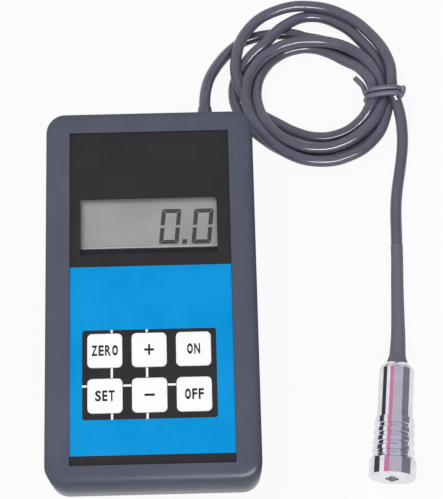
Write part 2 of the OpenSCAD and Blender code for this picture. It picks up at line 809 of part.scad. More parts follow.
front_shell();
rear_shell();
battery_door();
case_screws();
panel_overlay();
display_window();
lcd_glass();
lcd_frame();
contact_strips();
main_board();
board_screws();
converter_chip();
switch_bodies();
key_cap(0);  // key_zero
key_cap(1);  // key_plus
key_cap(2);  // key_on
key_cap(3);  // key_set
key_cap(4);  // key_minus
key_cap(5);  // key_off
switch_plunger(0);  // plunger_zero
switch_plunger(1);  // plunger_plus
switch_plunger(2);  // plunger_on
switch_plunger(3);  // plunger_set
switch_plunger(4);  // plunger_minus
switch_plunger(5);  // plunger_off
battery();
battery_snap();
battery_leads();
probe_header();
probe_leads();
cable_grommet();
cable_lead();
cable_coil();
cable_tie();
cable_tail();
cable_boot();
probe_cap();
probe_barrel();
probe_sleeve();
probe_bobbin();
probe_winding();
probe_spring();
probe_core();
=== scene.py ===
"""Studio scene of a coating thickness gauge with a corded probe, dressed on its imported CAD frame.

Lengths are metres in the CAD frame. The origin is in the middle of the case's back, +X runs to the right of
the display, +Y towards the cable end and +Z out of the display.
"""

import json
import logging
import math
from collections.abc import Callable, Iterator, Sequence
from contextlib import contextmanager
from dataclasses import dataclass
from enum import Enum

import bmesh
import bpy
from mathutils import Matrix, Vector

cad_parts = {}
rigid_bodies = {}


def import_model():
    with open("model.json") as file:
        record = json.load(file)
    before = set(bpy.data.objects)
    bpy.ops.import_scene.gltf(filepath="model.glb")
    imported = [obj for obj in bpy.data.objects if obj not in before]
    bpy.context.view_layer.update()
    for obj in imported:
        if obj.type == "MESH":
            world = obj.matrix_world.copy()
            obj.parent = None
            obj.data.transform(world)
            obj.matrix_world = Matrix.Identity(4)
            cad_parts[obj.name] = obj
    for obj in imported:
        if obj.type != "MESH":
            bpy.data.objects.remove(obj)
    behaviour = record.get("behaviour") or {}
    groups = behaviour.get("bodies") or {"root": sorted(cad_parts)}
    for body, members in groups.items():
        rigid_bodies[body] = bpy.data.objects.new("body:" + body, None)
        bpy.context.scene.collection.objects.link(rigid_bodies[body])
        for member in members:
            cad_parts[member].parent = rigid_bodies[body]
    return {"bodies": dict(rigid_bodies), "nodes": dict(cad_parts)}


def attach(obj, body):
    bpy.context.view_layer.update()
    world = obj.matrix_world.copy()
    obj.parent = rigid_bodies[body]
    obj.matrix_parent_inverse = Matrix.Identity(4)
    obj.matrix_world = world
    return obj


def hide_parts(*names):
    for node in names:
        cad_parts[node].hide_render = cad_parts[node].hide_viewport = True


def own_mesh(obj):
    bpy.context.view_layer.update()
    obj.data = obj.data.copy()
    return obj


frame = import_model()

log = logging.getLogger("gauge")

# Short names for types. Grains are the scale of a noise pattern and the number of its finer layers.
Pair = tuple[float, float]
Point = tuple[float, float, float]
Colour = tuple[float, float, float, float]
Grains = tuple[float, int]
Thing = bpy.types.Object
Socket = bpy.types.NodeSocket
Value = Socket | float | Point | Colour

# Places and sizes that several pieces share
PROBE_LEAN = math.radians(5.8)
KEY_COLUMNS = (-0.01515, -0.00075, 0.01365)
KEY_ROWS = (-0.0204, -0.0354)
INK_DEPTH = 0.00002

# Depths of bumps
HAIR_DEPTH = 0.00001
PORE_DEPTH = 0.00002
GRAIN_DEPTH = 0.00003

# Fineness of meshes, and angles in degrees above which an edge stays sharp
CORNER_STEPS = 6
LETTER_STEPS = 4
WIRE_STEPS = 6
WIRE_SIDES = 5
WIRE_CREASE = 50
TURNED_CREASE = 30

# Limits for selecting: a normal's rise on a face that points up, and a distance that counts as none
FACING_UP = 0.9
TOUCH = 1e-6

# Turns of a card that is made flat
FLAT = (0, 0, 0)
SIDEWAYS = (0, math.pi / 2, 0)
UPRIGHT = (math.pi / 2, 0, 0)


class Ink(Enum):
    """Colours of the gauge and its studio, as sRGB values from 0 to 255."""

    CASE_GREY = (80, 84, 99)
    CASE_PALE = (96, 100, 116)
    FILM_BLACK = (42, 41, 43)
    FIELD_BLUE = (0, 145, 212)
    LINE_WHITE = (250, 250, 250)
    KEY_WHITE = (250, 250, 250)
    LEGEND_BLACK = (34, 33, 34)
    DISPLAY_GREY = (187, 184, 182)
    DISPLAY_HAZE = (172, 170, 169)
    DISPLAY_LEDGE = (12, 12, 16)
    # Painted highlight on the polished lower edge of the display glass
    DISPLAY_EDGE = (226, 226, 228)
    WINDOW_CLEAR = (70, 72, 76)
    WINDOW_SMEAR = (86, 88, 92)
    SEGMENT_GREY = (68, 72, 72)
    CABLE_GREY = (93, 94, 109)
    CABLE_DARK = (74, 75, 88)
    SLEEVE_GREY = (100, 98, 109)
    TIE_GREY = (104, 105, 122)
    RUBBER_BLACK = (52, 53, 58)
    PLASTIC_BLACK = (38, 38, 40)
    CHROME = (232, 233, 238)
    STEEL = (186, 187, 190)
    IRON = (120, 121, 126)
    BOARD_GREEN = (22, 92, 52)
    BOARD_TRACE = (36, 124, 72)
    CAN_DARK = (58, 60, 66)
    CAN_BAND = (196, 150, 74)
    WIRE_RED = (176, 32, 30)
    NYLON_IVORY = (226, 220, 202)
    COPPER = (184, 110, 62)
    FLOOR_PALE = (208, 208, 210)
    FLOOR_SHADE = (202, 202, 205)
    FLAG_GREY = (128, 125, 138)
    FLAG_PALE = (196, 192, 206)
    FLAG_ROSE = (216, 134, 170)

    def linear(self, strength: float = 1.0, lift: float = 0.0) -> Colour:
        """Gives the colour in the linear values that shader sockets take.

        Args:
            strength: Factor on red, green and blue.
            lift: Amount added to each of them.

        Returns:
            Red, green, blue and a full alpha.
        """
        parts = [value / 255 for value in self.value]
        plain = [p / 12.92 if p <= 0.04045 else ((p + 0.055) / 1.055) ** 2.4 for p in parts]
        r, g, b = (min(1.0, part * strength + lift) for part in plain)
        return (r, g, b, 1.0)


class Pick(Enum):
    """What an edit selects."""

    VERTS = "VERT"
    EDGES = "EDGE"
    FACES = "FACE"


# Working on meshes by hand


def alone(obj: Thing) -> None:
    """Deselects everything, then selects one object and makes it active.

    Args:
        obj: Object to work on next.
    """
    bpy.ops.object.select_all(action="DESELECT")
    obj.select_set(True)
    bpy.context.view_layer.objects.active = obj


@contextmanager
def editing(obj: Thing, kind: Pick) -> Iterator[None]:
    """Opens an object in edit mode with nothing selected, and closes it again.

    Args:
        obj: Mesh object to work on.
        kind: What the edit selects.
    """
    alone(obj)
    bpy.ops.object.mode_set(mode="EDIT")
    bpy.ops.mesh.select_mode(type=kind.value)
    bpy.ops.mesh.select_all(action="DESELECT")
    yield
    bpy.ops.object.mode_set(mode="OBJECT")


def choose(obj: Thing, kind: Pick, test: Callable[[Vector, Vector], bool]) -> None:
    """Selects faces or edges of the mesh in edit mode by their place and direction.

    Args:
        obj: Mesh object in edit mode.
        kind: What is selected.
        test: Takes the middle and the normal of a face, or the middle and the direction of an edge, and says
            whether it is selected.
    """
    bpy.ops.mesh.select_all(action="DESELECT")
    mesh = bmesh.from_edit_mesh(obj.data)
    if kind is Pick.FACES:
        parts = [(face, face.calc_center_median(), face.normal) for face in mesh.faces]
    else:
        parts = []
        for edge in mesh.edges:
            low, high = (vert.co for vert in edge.verts)
            parts.append((edge, (low + high) / 2, (high - low).normalized()))
    for part, middle, direction in parts:
        if test(middle, direction):
            part.select_set(True)
    mesh.select_flush_mode()
    bmesh.update_edit_mesh(obj.data)


def named(name: str) -> Thing:
    """Names the active object and its data.

    Args:
        name: Name that both get.

    Returns:
        The active object.
    """
    obj = bpy.context.active_object
    obj.name = name
    obj.data.name = name
    return obj


def added(name: str, add: Callable[..., set[str]], **settings: object) -> Thing:
    """Adds an object by one of Blender's operators.

    Args:
        name: Name of the object.
        add: Operator that adds it.
        **settings: The operator's settings.

    Returns:
        The new object, which alone is selected.
    """
    bpy.ops.object.select_all(action="DESELECT")
    add(**settings)
    return named(name)


def settle(obj: Thing) -> None:
    """Moves an object's place, turn and scale into its mesh."""
    alone(obj)
    bpy.ops.object.transform_apply(location=True, rotation=True, scale=True)


def plate(name: str, low: Pair, high: Pair, z: float) -> Thing:
    """Adds a flat rectangle that faces up.

    Args:
        name: Name of the piece.
        low: Its lower left corner.
        high: Its upper right corner.
        z: Its height.

    Returns:
        The new object, at the origin.
    """
    middle = ((low[0] + high[0]) / 2, (low[1] + high[1]) / 2, z)
    obj = added(name, bpy.ops.mesh.primitive_plane_add, size=1, location=middle)
    obj.scale = (high[0] - low[0], high[1] - low[1], 1)
    settle(obj)
    return obj


def thicken(obj: Thing, height: float) -> None:
    """Extrudes a flat sheet upwards into a closed solid.

    Args:
        obj: Sheet that faces up.
        height: Thickness that it gets.
    """
    with editing(obj, Pick.FACES):
        bpy.ops.mesh.select_all(action="SELECT")
        bpy.ops.mesh.extrude_region_move(TRANSFORM_OT_translate={"value": (0, 0, height)})
        bpy.ops.mesh.select_all(action="SELECT")
        bpy.ops.mesh.normals_make_consistent(inside=False)


def round_corners(obj: Thing, radius: float) -> None:
    """Rounds the corners of a flat rectangle.

    Args:
        obj: Sheet with four corners.
        radius: Radius of the corners.
    """
    with editing(obj, Pick.VERTS):
        bpy.ops.mesh.select_all(action="SELECT")
        bpy.ops.mesh.bevel(offset=radius, segments=CORNER_STEPS, affect="VERTICES")


def discard(obj: Thing) -> None:
    """Deletes an object."""
    bpy.data.objects.remove(obj, do_unlink=True)


def cut(obj: Thing, tool: Thing) -> None:
    """Cuts a helper's solid out of an object and deletes the helper.

    Args:
        obj: Object that is cut.
        tool: Helper in the shape of the hole.
    """
    alone(obj)
    modifier = obj.modifiers.new("Cut", "BOOLEAN")
    modifier.operation = "DIFFERENCE"
    modifier.solver = "EXACT"
    modifier.object = tool
    bpy.ops.object.modifier_apply(modifier=modifier.name)
    discard(tool)


def copy_of(obj: Thing, name: str, move: Point) -> Thing:
    """Copies a finished piece to another place, with a mesh of its own.

    Args:
        obj: Piece to copy.
        name: Name of the copy.
        move: How far the copy lies from the piece.

    Returns:
        The copy, at the origin.
    """
    alone(obj)
    bpy.ops.object.duplicate(linked=False)
    twin = named(name)
    twin.location = move
    settle(twin)
    return twin


def merged(name: str, pieces: Sequence[Thing]) -> Thing:
    """Joins several objects into one.

    Args:
        name: Name of the joined piece.
        pieces: Objects to join.

    Returns:
        The joined object.
    """
    alone(pieces[0])
    for piece in pieces:
        piece.select_set(True)
    bpy.ops.object.join()
    return named(name)


def soften(obj: Thing, degrees: float) -> None:
    """Shades an object smooth, with sharp edges above an angle."""
    alone(obj)
    bpy.ops.object.shade_smooth_by_angle(angle=math.radians(degrees))


def lettering(name: str, words: str, middle: Point, size: Pair, weight: float) -> Thing:
    """Makes a flat legend that faces up.

    Args:
        name: Name of the piece.
        words: Legend to print.
        middle: Middle of the legend on the face that carries it.
        size: Width of the legend and height of its capitals.
        weight: How far the strokes are thickened, as a share of the type size.

    Returns:
        The legend as a mesh, at the origin.
    """
    obj = added(name, bpy.ops.object.text_add, location=(0, 0, 0))
    obj.data.body = words
    obj.data.offset = weight
    obj.data.resolution_u = LETTER_STEPS
    alone(obj)
    bpy.ops.object.convert(target="MESH")
    corners = [vert.co for vert in obj.data.vertices]
    low = Vector((min(c.x for c in corners), min(c.y for c in corners), 0))
    high = Vector((max(c.x for c in corners), max(c.y for c in corners), 0))
    span = high - low
    fit = Matrix.Diagonal((size[0] / span.x, size[1] / span.y, 1, 1))
    centred = Matrix.Translation(-(low + high) / 2)
    obj.data.transform(Matrix.Translation(middle) @ fit @ centred)
    return obj


def round_wire(name: str, points: Sequence[Vector], radius: float, taper: Sequence[float] = ()) -> Thing:
    """Makes a round cord or wire along points.

    Args:
        name: Name of the piece.
        points: Points on its middle line.
        radius: Its radius, or the one that its taper is given against.
        taper: Radius at each point, where it isn't even.

    Returns:
        The curve object, at the origin.
    """
    data = bpy.data.curves.new(name, "CURVE")
    data.dimensions = "3D"
    data.resolution_u = WIRE_STEPS
    data.bevel_depth = radius
    data.bevel_resolution = WIRE_SIDES
    data.use_fill_caps = True
    spline = data.splines.new("BEZIER")
    spline.bezier_points.add(len(points) - 1)
    for i, (knot, point) in enumerate(zip(spline.bezier_points, points)):
        knot.co = point
        knot.handle_left_type = "AUTO"
        knot.handle_right_type = "AUTO"
        knot.radius = taper[i] / radius if taper else 1.0
    obj = bpy.data.objects.new(name, data)
    bpy.context.collection.objects.link(obj)
    return obj


def wire_mesh(wire: Thing) -> Thing:
    """Makes a wire a smooth mesh.

    Args:
        wire: Curve object of the wire.

    Returns:
        The same object as a mesh.
    """
    alone(wire)
    bpy.ops.object.convert(target="MESH")
    soften(wire, WIRE_CREASE)
    return wire


@dataclass(frozen=True)
class HeadedPin:
    """A turned piece along +Z: a head with a rounded rim, whose face is at the origin, and a stem."""

    sides: int
    head_r: float
    head_h: float
    rim: float
    rim_steps: int
    rim_profile: float
    stem_r: float
    stem_h: float
    point_h: float = 0.0

    def build(self, name: str) -> Thing:
        """Turns the piece.

        Args:
            name: Name of the piece.

        Returns:
            The piece, at the origin.
        """
        pin = added(name, bpy.ops.mesh.primitive_cylinder_add, vertices=self.sides, radius=self.head_r,
                    depth=self.head_h, location=(0, 0, self.head_h / 2))
        settle(pin)
        with editing(pin, Pick.FACES):
            choose(pin, Pick.FACES, lambda middle, normal: normal.z > FACING_UP)
            bpy.ops.mesh.inset(thickness=self.head_r - self.stem_r)
            bpy.ops.mesh.extrude_region_move(TRANSFORM_OT_translate={"value": (0, 0, self.stem_h)})
            if self.point_h:
                bpy.ops.mesh.inset(thickness=self.stem_r / 2)
                bpy.ops.transform.translate(value=(0, 0, self.point_h))
            bpy.ops.mesh.select_mode(type="EDGE")
            choose(pin, Pick.EDGES, lambda middle, along: middle.z < TOUCH)
            bpy.ops.mesh.bevel(offset=self.rim, segments=self.rim_steps, profile=self.rim_profile,
                               affect="EDGES")
        return pin


# Shader work


class NodeTree:
    """A node tree, with short ways to add nodes and join them."""

    def __init__(self, tree: bpy.types.NodeTree, output: str) -> None:
        """Empties a tree and gives it its output node.

        Args:
            tree: Tree of a material or a world.
            output: Blender's name for its type of output node.
        """
        self.tree = tree
        self.tree.nodes.clear()
        self.output = self.add(output)

    def feed(self, target: Socket, value: Value) -> None:
        """Joins an output to an input, or sets the input to a constant.

        Args:
            target: The input.
            value: An output, or the constant.
        """
        if isinstance(value, Socket):
            self.tree.links.new(value, target)
        else:
            target.default_value = value

    def add(self, kind: str, inputs: dict[str | int, Value] | None = None,
            **settings: object) -> bpy.types.Node:
        """Adds a node.

        Args:
            kind: Blender's name for its type.
            inputs: What its inputs get, by name or number.
            **settings: Values of its properties.

        Returns:
            The node.
        """
        node = self.tree.nodes.new(kind)
        for key, value in settings.items():
            setattr(node, key, value)
        for key, value in (inputs or {}).items():
            self.feed(node.inputs[key], value)
        return node

    def math(self, action: str, first: Socket, second: Value) -> Socket:
        """Works out one sum, by Blender's name for it, on a pattern and a second pattern or a number."""
        return self.add("ShaderNodeMath", {0: first, 1: second}, operation=action).outputs[0]

    def blend(self, factor: Socket, first: Socket, second: Socket) -> Socket:
        """Mixes two shaders by a pattern that is 0 for the first and 1 for the second."""
        return self.add("ShaderNodeMixShader", {0: factor, 1: first, 2: second}).outputs["Shader"]

    def show(self, shader: Socket) -> None:
        """Joins a shader to the tree's output."""
        self.feed(self.output.inputs["Surface"], shader)


class Sheet(NodeTree):
    """A material with one principled shader, and the patterns that feed it."""

    def __init__(self, name: str) -> None:
        """Starts a material.

        Args:
            name: Name of the material.
        """
        self.material = bpy.data.materials.new(name)
        self.material.use_nodes = True
        super().__init__(self.material.node_tree, "ShaderNodeOutputMaterial")
        self.shader = self.add("ShaderNodeBsdfPrincipled")
        self.show(self.shader.outputs["BSDF"])

    def put(self, **values: Value) -> None:
        """Gives the shader's sockets patterns or constants, by the sockets' names with underscores."""
        for key, value in values.items():
            self.feed(self.shader.inputs[key.replace("_", " ")], value)

    def coords(self, scale: Point = (1, 1, 1), turn: Point = (0, 0, 0)) -> Socket:
        """Gives object coordinates, mapped.

        Args:
            scale: Stretch of the pattern along each axis.
            turn: Turn of the pattern about each axis, in radians.

        Returns:
            The vector output.
        """
        source = self.add("ShaderNodeTexCoord").outputs["Object"]
        inputs = {"Vector": source, "Rotation": turn, "Scale": scale}
        return self.add("ShaderNodeMapping", inputs).outputs["Vector"]

    def axis(self, coords: Socket, name: str) -> Socket:
        """Takes one of the three parts of a vector."""
        return self.add("ShaderNodeSeparateXYZ", {"Vector": coords}).outputs[name]

    def noise(self, scale: float, detail: int, coords: Socket | None = None) -> Socket:
        """Gives a noise pattern.

        Args:
            scale: Grains per metre.
            detail: Number of finer layers.
            coords: Vector to read, object coordinates if left out.

        Returns:
            The noise value's output.
        """
        inputs = {"Vector": coords or self.coords(), "Scale": scale, "Detail": detail}
        return self.add("ShaderNodeTexNoise", inputs).outputs["Fac"]

    def wave(self, scale: float, distortion: float, coords: Socket, axis: str) -> Socket:
        """Gives a pattern of parallel bands.

        Args:
            scale: Bands per metre, roughly.
            distortion: How far the bands wander.
            coords: Vector to read.
            axis: Axis that the bands cross.

        Returns:
            The band value's output.
        """
        inputs = {"Vector": coords, "Scale": scale, "Distortion": distortion}
        return self.add("ShaderNodeTexWave", inputs, bands_direction=axis).outputs["Fac"]

    def span(self, value: Socket, low: float, high: float, start: float = 0.3, end: float = 0.7) -> Socket:
        """Maps a pattern's middle range onto two values.

        Args:
            value: Pattern to map.
            low: Result at and below start.
            high: Result at and above end.
            start: Pattern value that gives low.
            end: Pattern value that gives high.

        Returns:
            The mapped output.
        """
        inputs = {"Value": value, "From Min": start, "From Max": end, "To Min": low, "To Max": high}
        return self.add("ShaderNodeMapRange", inputs).outputs["Result"]

    def tint(self, factor: Socket, low: Value, high: Value) -> Socket:
        """Blends two colours by a pattern that is 0 for the first and 1 for the second."""
        return self.add("ShaderNodeMix", {0: factor, 6: low, 7: high}, data_type="RGBA").outputs[2]

    def emboss(self, height: Socket, strength: float, depth: float) -> None:
        """Joins a bump to the shader, on top of any bump that is there.

        Args:
            height: Pattern of heights from 0 to 1.
            strength: How much of the bump shows.
            depth: Height in metres that a value of 1 stands for.
        """
        inputs = {"Height": height, "Strength": strength, "Distance": depth}
        normal = self.shader.inputs["Normal"]
        if normal.is_linked:
            inputs["Normal"] = normal.links[0].from_socket
        self.put(Normal=self.add("ShaderNodeBump", inputs).outputs["Normal"])


# Finishes


def about(middle: float, spread: Pair) -> Pair:
    """Gives the two ends of a spread about a value."""
    return (middle + spread[0], middle + spread[1])


@dataclass(frozen=True)
class Finish:
    """A finish that several pieces can share."""

    name: str

    def material(self) -> bpy.types.Material:
        """Gives the finish's material, made on first use.

        Returns:
            The material.
        """
        found = bpy.data.materials.get(self.name)
        if found:
            return found
        sheet = Sheet(self.name)
        self.make(sheet)
        return sheet.material

    def make(self, sheet: Sheet) -> None:
        """Builds the material's nodes."""
        raise NotImplementedError


@dataclass(frozen=True)
class MouldedPlastic(Finish):
    """Injection-moulded plastic with a spark-eroded grain, rubbed patches and, on request, crowned walls."""

    ink: Ink = Ink.CASE_GREY
    worn: Ink = Ink.CASE_PALE
    rough: float = 0.28
    grain: float = 2600
    relief: float = 0.35
    wear: float = 0.25
    index: float = 1.28
    crown: float = 0.0
    crown_low: float = -0.016
    crown_high: float = 0.028
    spread: Pair = (-0.07, 0.08)
    mottle: Grains = (160, 4)
    mottle_share: float = 0.16
    patches: Grains = (38, 5)
    scratches: Grains = (700, 2)
    scratch_stretch: Point = (1, 0.06, 1)
    scratch_turn: Point = (0.2, 0.1, 0.7)

    def make(self, sheet: Sheet) -> None:
        """Builds grain, mottling and rubbed patches.

        Args:
            sheet: Material that gets the nodes.
        """
        worn = self.worn.linear()
        mottle = sheet.span(sheet.noise(*self.mottle), 0, self.mottle_share)
        body = sheet.tint(mottle, self.ink.linear(), worn)
        patches = sheet.span(sheet.noise(*self.patches), 0, 1, start=0.5, end=0.75)
        rubbed = sheet.math("MULTIPLY", patches, self.wear)
        along = sheet.coords(self.scratch_stretch, self.scratch_turn)
        scratches = sheet.span(sheet.noise(*self.scratches, along), 0, 1, start=0.7, end=0.78)
        scuffed = sheet.math("MULTIPLY", scratches, self.wear / 2)
        fine = sheet.noise(self.grain, 2)
        matt = sheet.math("ADD", fine, rubbed)
        sheet.put(Base_Color=sheet.tint(sheet.math("MAXIMUM", rubbed, scuffed), body, worn),
                  Roughness=sheet.span(matt, *about(self.rough, self.spread), end=0.9),
                  IOR=self.index, Specular_IOR_Level=0.5)
        if self.crown:
            height = sheet.span(sheet.axis(sheet.coords(), "Z"), -1, 1, self.crown_low, self.crown_high)
            sheet.emboss(sheet.math("MULTIPLY", height, height), 1.0, -self.crown)
        sheet.emboss(fine, self.relief, GRAIN_DEPTH)


@dataclass(frozen=True)
class PrintedFilm(Finish):
    """Ink on a satin plastic film."""

    ink: Ink = Ink.FILM_BLACK
    rough: float = 0.42
    shine: float = 0.12
    spread: Pair = (-0.05, 0.06)
    relief: float = 0.12
    cloud: Grains = (90, 3)
    cloud_strength: float = 1.1
    cloud_lift: float = 0.004
    smears: Grains = (220, 3)
    velvet: Grains = (5200, 1)

    def make(self, sheet: Sheet) -> None:
        """Builds ink with a slight cloud and the film's velvet grain.

        Args:
            sheet: Material that gets the nodes.
        """
        cloud = sheet.span(sheet.noise(*self.cloud), 0, 1)
        pale = self.ink.linear(self.cloud_strength, self.cloud_lift)
        sheet.put(Base_Color=sheet.tint(cloud, self.ink.linear(), pale),
                  Roughness=sheet.span(sheet.noise(*self.smears), *about(self.rough, self.spread)),
                  IOR=1.5, Specular_IOR_Level=self.shine)
        sheet.emboss(sheet.noise(*self.velvet), self.relief, HAIR_DEPTH)


@dataclass(frozen=True)
class CableJacket(Finish):
    """Soft vinyl with a satin skin."""

    ink: Ink = Ink.CABLE_GREY
    dark: Ink = Ink.CABLE_DARK
    rough: float = 0.14
    grain: float = 1900
    spread: Pair = (-0.04, 0.07)
    relief: float = 0.05
    smudges: Grains = (120, 4)
    smudge_share: float = 0.45
    smears: Grains = (320, 3)

    def make(self, sheet: Sheet) -> None:
        """Builds the satin skin with smudges and fine pores.

        Args:
            sheet: Material that gets the nodes.
        """
        smudges = sheet.span(sheet.noise(*self.smudges), 0, self.smudge_share)
        sheet.put(Base_Color=sheet.tint(smudges, self.ink.linear(), self.dark.linear()),
                  Roughness=sheet.span(sheet.noise(*self.smears), *about(self.rough, self.spread)),
                  IOR=1.52, Specular_IOR_Level=0.5)
        sheet.emboss(sheet.noise(self.grain, 2), self.relief, PORE_DEPTH)


@dataclass(frozen=True)
class ProbeMetal(Finish):
    """Turned metal of the probe, with fine rings across its axis."""

    ink: Ink = Ink.CHROME
    rough: float = 0.06
    rings: float = 900
    relief: float = 0.04
    spread: Pair = (0.0, 0.07)
    wander: float = 0.6
    dull: float = 0.86
    smears: Grains = (240, 4)
    hairlines: Grains = (1500, 2)
    hairline_stretch: Point = (1, 0.04, 1)
    hairline_rough: float = 0.05

    def make(self, sheet: Sheet) -> None:
        """Builds bright metal with turning marks, smears and hairlines.

        Args:
            sheet: Material that gets the nodes.
        """
        turned = sheet.wave(self.rings, self.wander, sheet.coords(turn=(0, 0, PROBE_LEAN)), "Y")
        smears = sheet.noise(*self.smears)
        polish = sheet.span(smears, *about(self.rough, self.spread))
        fine = sheet.noise(*self.hairlines, sheet.coords(self.hairline_stretch))
        hairlines = sheet.span(fine, 0, 1, start=0.55, end=0.8)
        rubbed = sheet.math("MULTIPLY", hairlines, self.hairline_rough)
        shown = sheet.tint(sheet.span(smears, 0, 1), self.ink.linear(), self.ink.linear(self.dull))
        sheet.put(Base_Color=shown, Roughness=sheet.math("ADD", polish, rubbed), Metallic=1.0)
        sheet.emboss(turned, self.relief, HAIR_DEPTH)


@dataclass(frozen=True)
class PlainMetal(Finish):
    """Plated or drawn metal of small pieces."""

    ink: Ink = Ink.STEEL
    rough: float = 0.3
    grain: float = 1400
    grain_stretch: Point = (1, 1, 0.1)
    spread: Pair = (-0.08, 0.12)
    relief: float = 0.1
    dull: float = 0.7
    stains: Grains = (380, 4)

    def make(self, sheet: Sheet) -> None:
        """Builds drawn metal with stains.

        Args:
            sheet: Material that gets the nodes.
        """
        stains = sheet.span(sheet.noise(*self.stains), 0, 1)
        drawn = sheet.noise(self.grain, 2, sheet.coords(self.grain_stretch))
        sheet.put(Base_Color=sheet.tint(stains, self.ink.linear(), self.ink.linear(self.dull)),
                  Roughness=sheet.span(drawn, *about(self.rough, self.spread)), Metallic=1.0)
        sheet.emboss(drawn, self.relief, HAIR_DEPTH)


@dataclass(frozen=True)
class ClearWindow(Finish):
    """Clear moulded plastic with faint smears."""

    alpha: float = 0.08
    gloss: Pair = (0.04, 0.12)
    relief: float = 0.02
    smears: Grains = (60, 4)
    ripples: Grains = (900, 2)

    def make(self, sheet: Sheet) -> None:
        """Builds a thin clear sheet.

        Args:
            sheet: Material that gets the nodes.
        """
        smears = sheet.noise(*self.smears)
        shown = sheet.tint(sheet.span(smears, 0, 1), Ink.WINDOW_CLEAR.linear(), Ink.WINDOW_SMEAR.linear())
        sheet.put(Base_Color=shown, Roughness=sheet.span(smears, *self.gloss), IOR=1.49, Alpha=self.alpha)
        sheet.emboss(sheet.noise(*self.ripples), self.relief, HAIR_DEPTH)


@dataclass(frozen=True)
class DisplayGlass(Finish):
    """Reflective display: a grey polariser above the dark contact ledge, with a painted highlight along the
    glass's lower edge.
    """

    ledge_y: float = 0.01505
    step_z: float = 0.02428
    highlight_w: float = 0.0004
    fade: float = 0.00005
    haze: Grains = (55, 3)
    contacts: float = 1500
    contact_share: float = 0.05
    gloss: Pair = (0.3, 0.42)
    smears: Grains = (2400, 2)
    grain: Grains = (3800, 1)
    relief: float = 0.05

    def make(self, sheet: Sheet) -> None:
        """Builds the polariser's haze, the ledge's fine contact lines and a pale band that is a painted
        highlight on the glass's lower edge.

        Args:
            sheet: Material that gets the nodes.
        """
        coords = sheet.coords()
        haze = sheet.span(sheet.noise(*self.haze), 0, 1)
        polariser = sheet.tint(haze, Ink.DISPLAY_GREY.linear(), Ink.DISPLAY_HAZE.linear())
        bands = sheet.wave(self.contacts, 0, coords, "X")
        contacts = sheet.span(bands, 0, self.contact_share, start=0.4, end=0.6)
        ledge = sheet.tint(contacts, Ink.DISPLAY_LEDGE.linear(), Ink.CASE_GREY.linear())
        y, z = sheet.axis(coords, "Y"), sheet.axis(coords, "Z")
        # The pale band on the glass just above the ledge is a painted highlight of the glass's polished lower
        # edge.
        highlight_top = self.ledge_y + self.highlight_w
        upper = sheet.span(y, 0, 1, self.ledge_y - self.fade, self.ledge_y)
        below = sheet.span(y, 1, 0, highlight_top, highlight_top + self.fade)
        edge = sheet.math("MULTIPLY", below, sheet.span(z, 0, 1, self.step_z, self.step_z + self.fade))
        face = sheet.tint(upper, ledge, polariser)
        sheet.put(Base_Color=sheet.tint(edge, face, Ink.DISPLAY_EDGE.linear()),
                  Roughness=sheet.span(sheet.noise(*self.smears), *self.gloss),
                  IOR=1.5, Specular_IOR_Level=0.3)
        sheet.emboss(sheet.noise(*self.grain), self.relief, HAIR_DEPTH)


@dataclass(frozen=True)
class CircuitBoard(Finish):
    """Solder mask over copper tracks."""

    track_scale: float = 160
    track_width: float = 0.06
    track_stretch: Point = (1, 1, 0.01)
    gloss: Pair = (0.28, 0.4)
    smears: Grains = (500, 3)
    relief: float = 0.4

    def make(self, sheet: Sheet) -> None:
        """Builds tracks under a green mask.

        Args:
            sheet: Material that gets the nodes.
        """
        mask = Ink.BOARD_GREEN.linear()
        inputs = {"Vector": sheet.coords(self.track_stretch), "Scale": self.track_scale,
                  "Mortar Size": self.track_width, "Mortar": Ink.BOARD_TRACE.linear(),
                  "Color1": mask, "Color2": mask}
        tracks = sheet.add("ShaderNodeTexBrick", inputs).outputs
        sheet.put(Base_Color=tracks["Color"], Roughness=sheet.span(sheet.noise(*self.smears), *self.gloss),
                  IOR=1.5)
        sheet.emboss(tracks["Fac"], self.relief, GRAIN_DEPTH)


@dataclass(frozen=True)
class BatteryCan(Finish):
    """Painted battery can with a band at its stud end."""

    band_y: float = -0.0245
    band_fade: float = 0.0002
    scuffs: Grains = (260, 5)
    scuff_share: float = 0.3
    gloss: Pair = (0.25, 0.4)
    smears: Grains = (420, 3)
    dents: Grains = (800, 2)
    relief: float = 0.06

    def make(self, sheet: Sheet) -> None:
        """Builds a two-coloured wrap with scuffs.

        Args:
            sheet: Material that gets the nodes.
        """
        y = sheet.axis(sheet.coords(), "Y")
        band = sheet.span(y, 0, 1, self.band_y, self.band_y + self.band_fade)
        wrap = sheet.tint(band, Ink.CAN_DARK.linear(), Ink.CAN_BAND.linear())
        scuffs = sheet.span(sheet.noise(*self.scuffs), 0, self.scuff_share, start=0.55, end=0.7)
        sheet.put(Base_Color=sheet.tint(scuffs, wrap, Ink.STEEL.linear()),
                  Roughness=sheet.span(sheet.noise(*self.smears), *self.gloss), Metallic=0.35)
        sheet.emboss(sheet.noise(*self.dents), self.relief, PORE_DEPTH)


@dataclass(frozen=True)
class WoundWire(Finish):
    """Copper wire in close turns, with painted shade in the grooves between them."""

    turns: float = 1600
    wander: float = 0.2
    turn_depth: float = 0.00008
    shade: float = 0.45
    gloss: Pair = (0.25, 0.4)
    smears: Grains = (900, 2)
    relief: float = 0.6

    def make(self, sheet: Sheet) -> None:
        """Builds the turns as bands along the probe, with the copper darkened in each groove as painted
        shade.

        Args:
            sheet: Material that gets the nodes.
        """
        turns = sheet.wave(self.turns, self.wander, sheet.coords(turn=(0, 0, PROBE_LEAN)), "Y")
        # The darker copper at the low point of each wave is painted shade in the groove between turns, where
        # the bump sinks.
        sheet.put(Base_Color=sheet.tint(turns, Ink.COPPER.linear(self.shade), Ink.COPPER.linear()),
                  Roughness=sheet.span(sheet.noise(*self.smears), *self.gloss), Metallic=0.8)
        sheet.emboss(turns, self.relief, self.turn_depth)


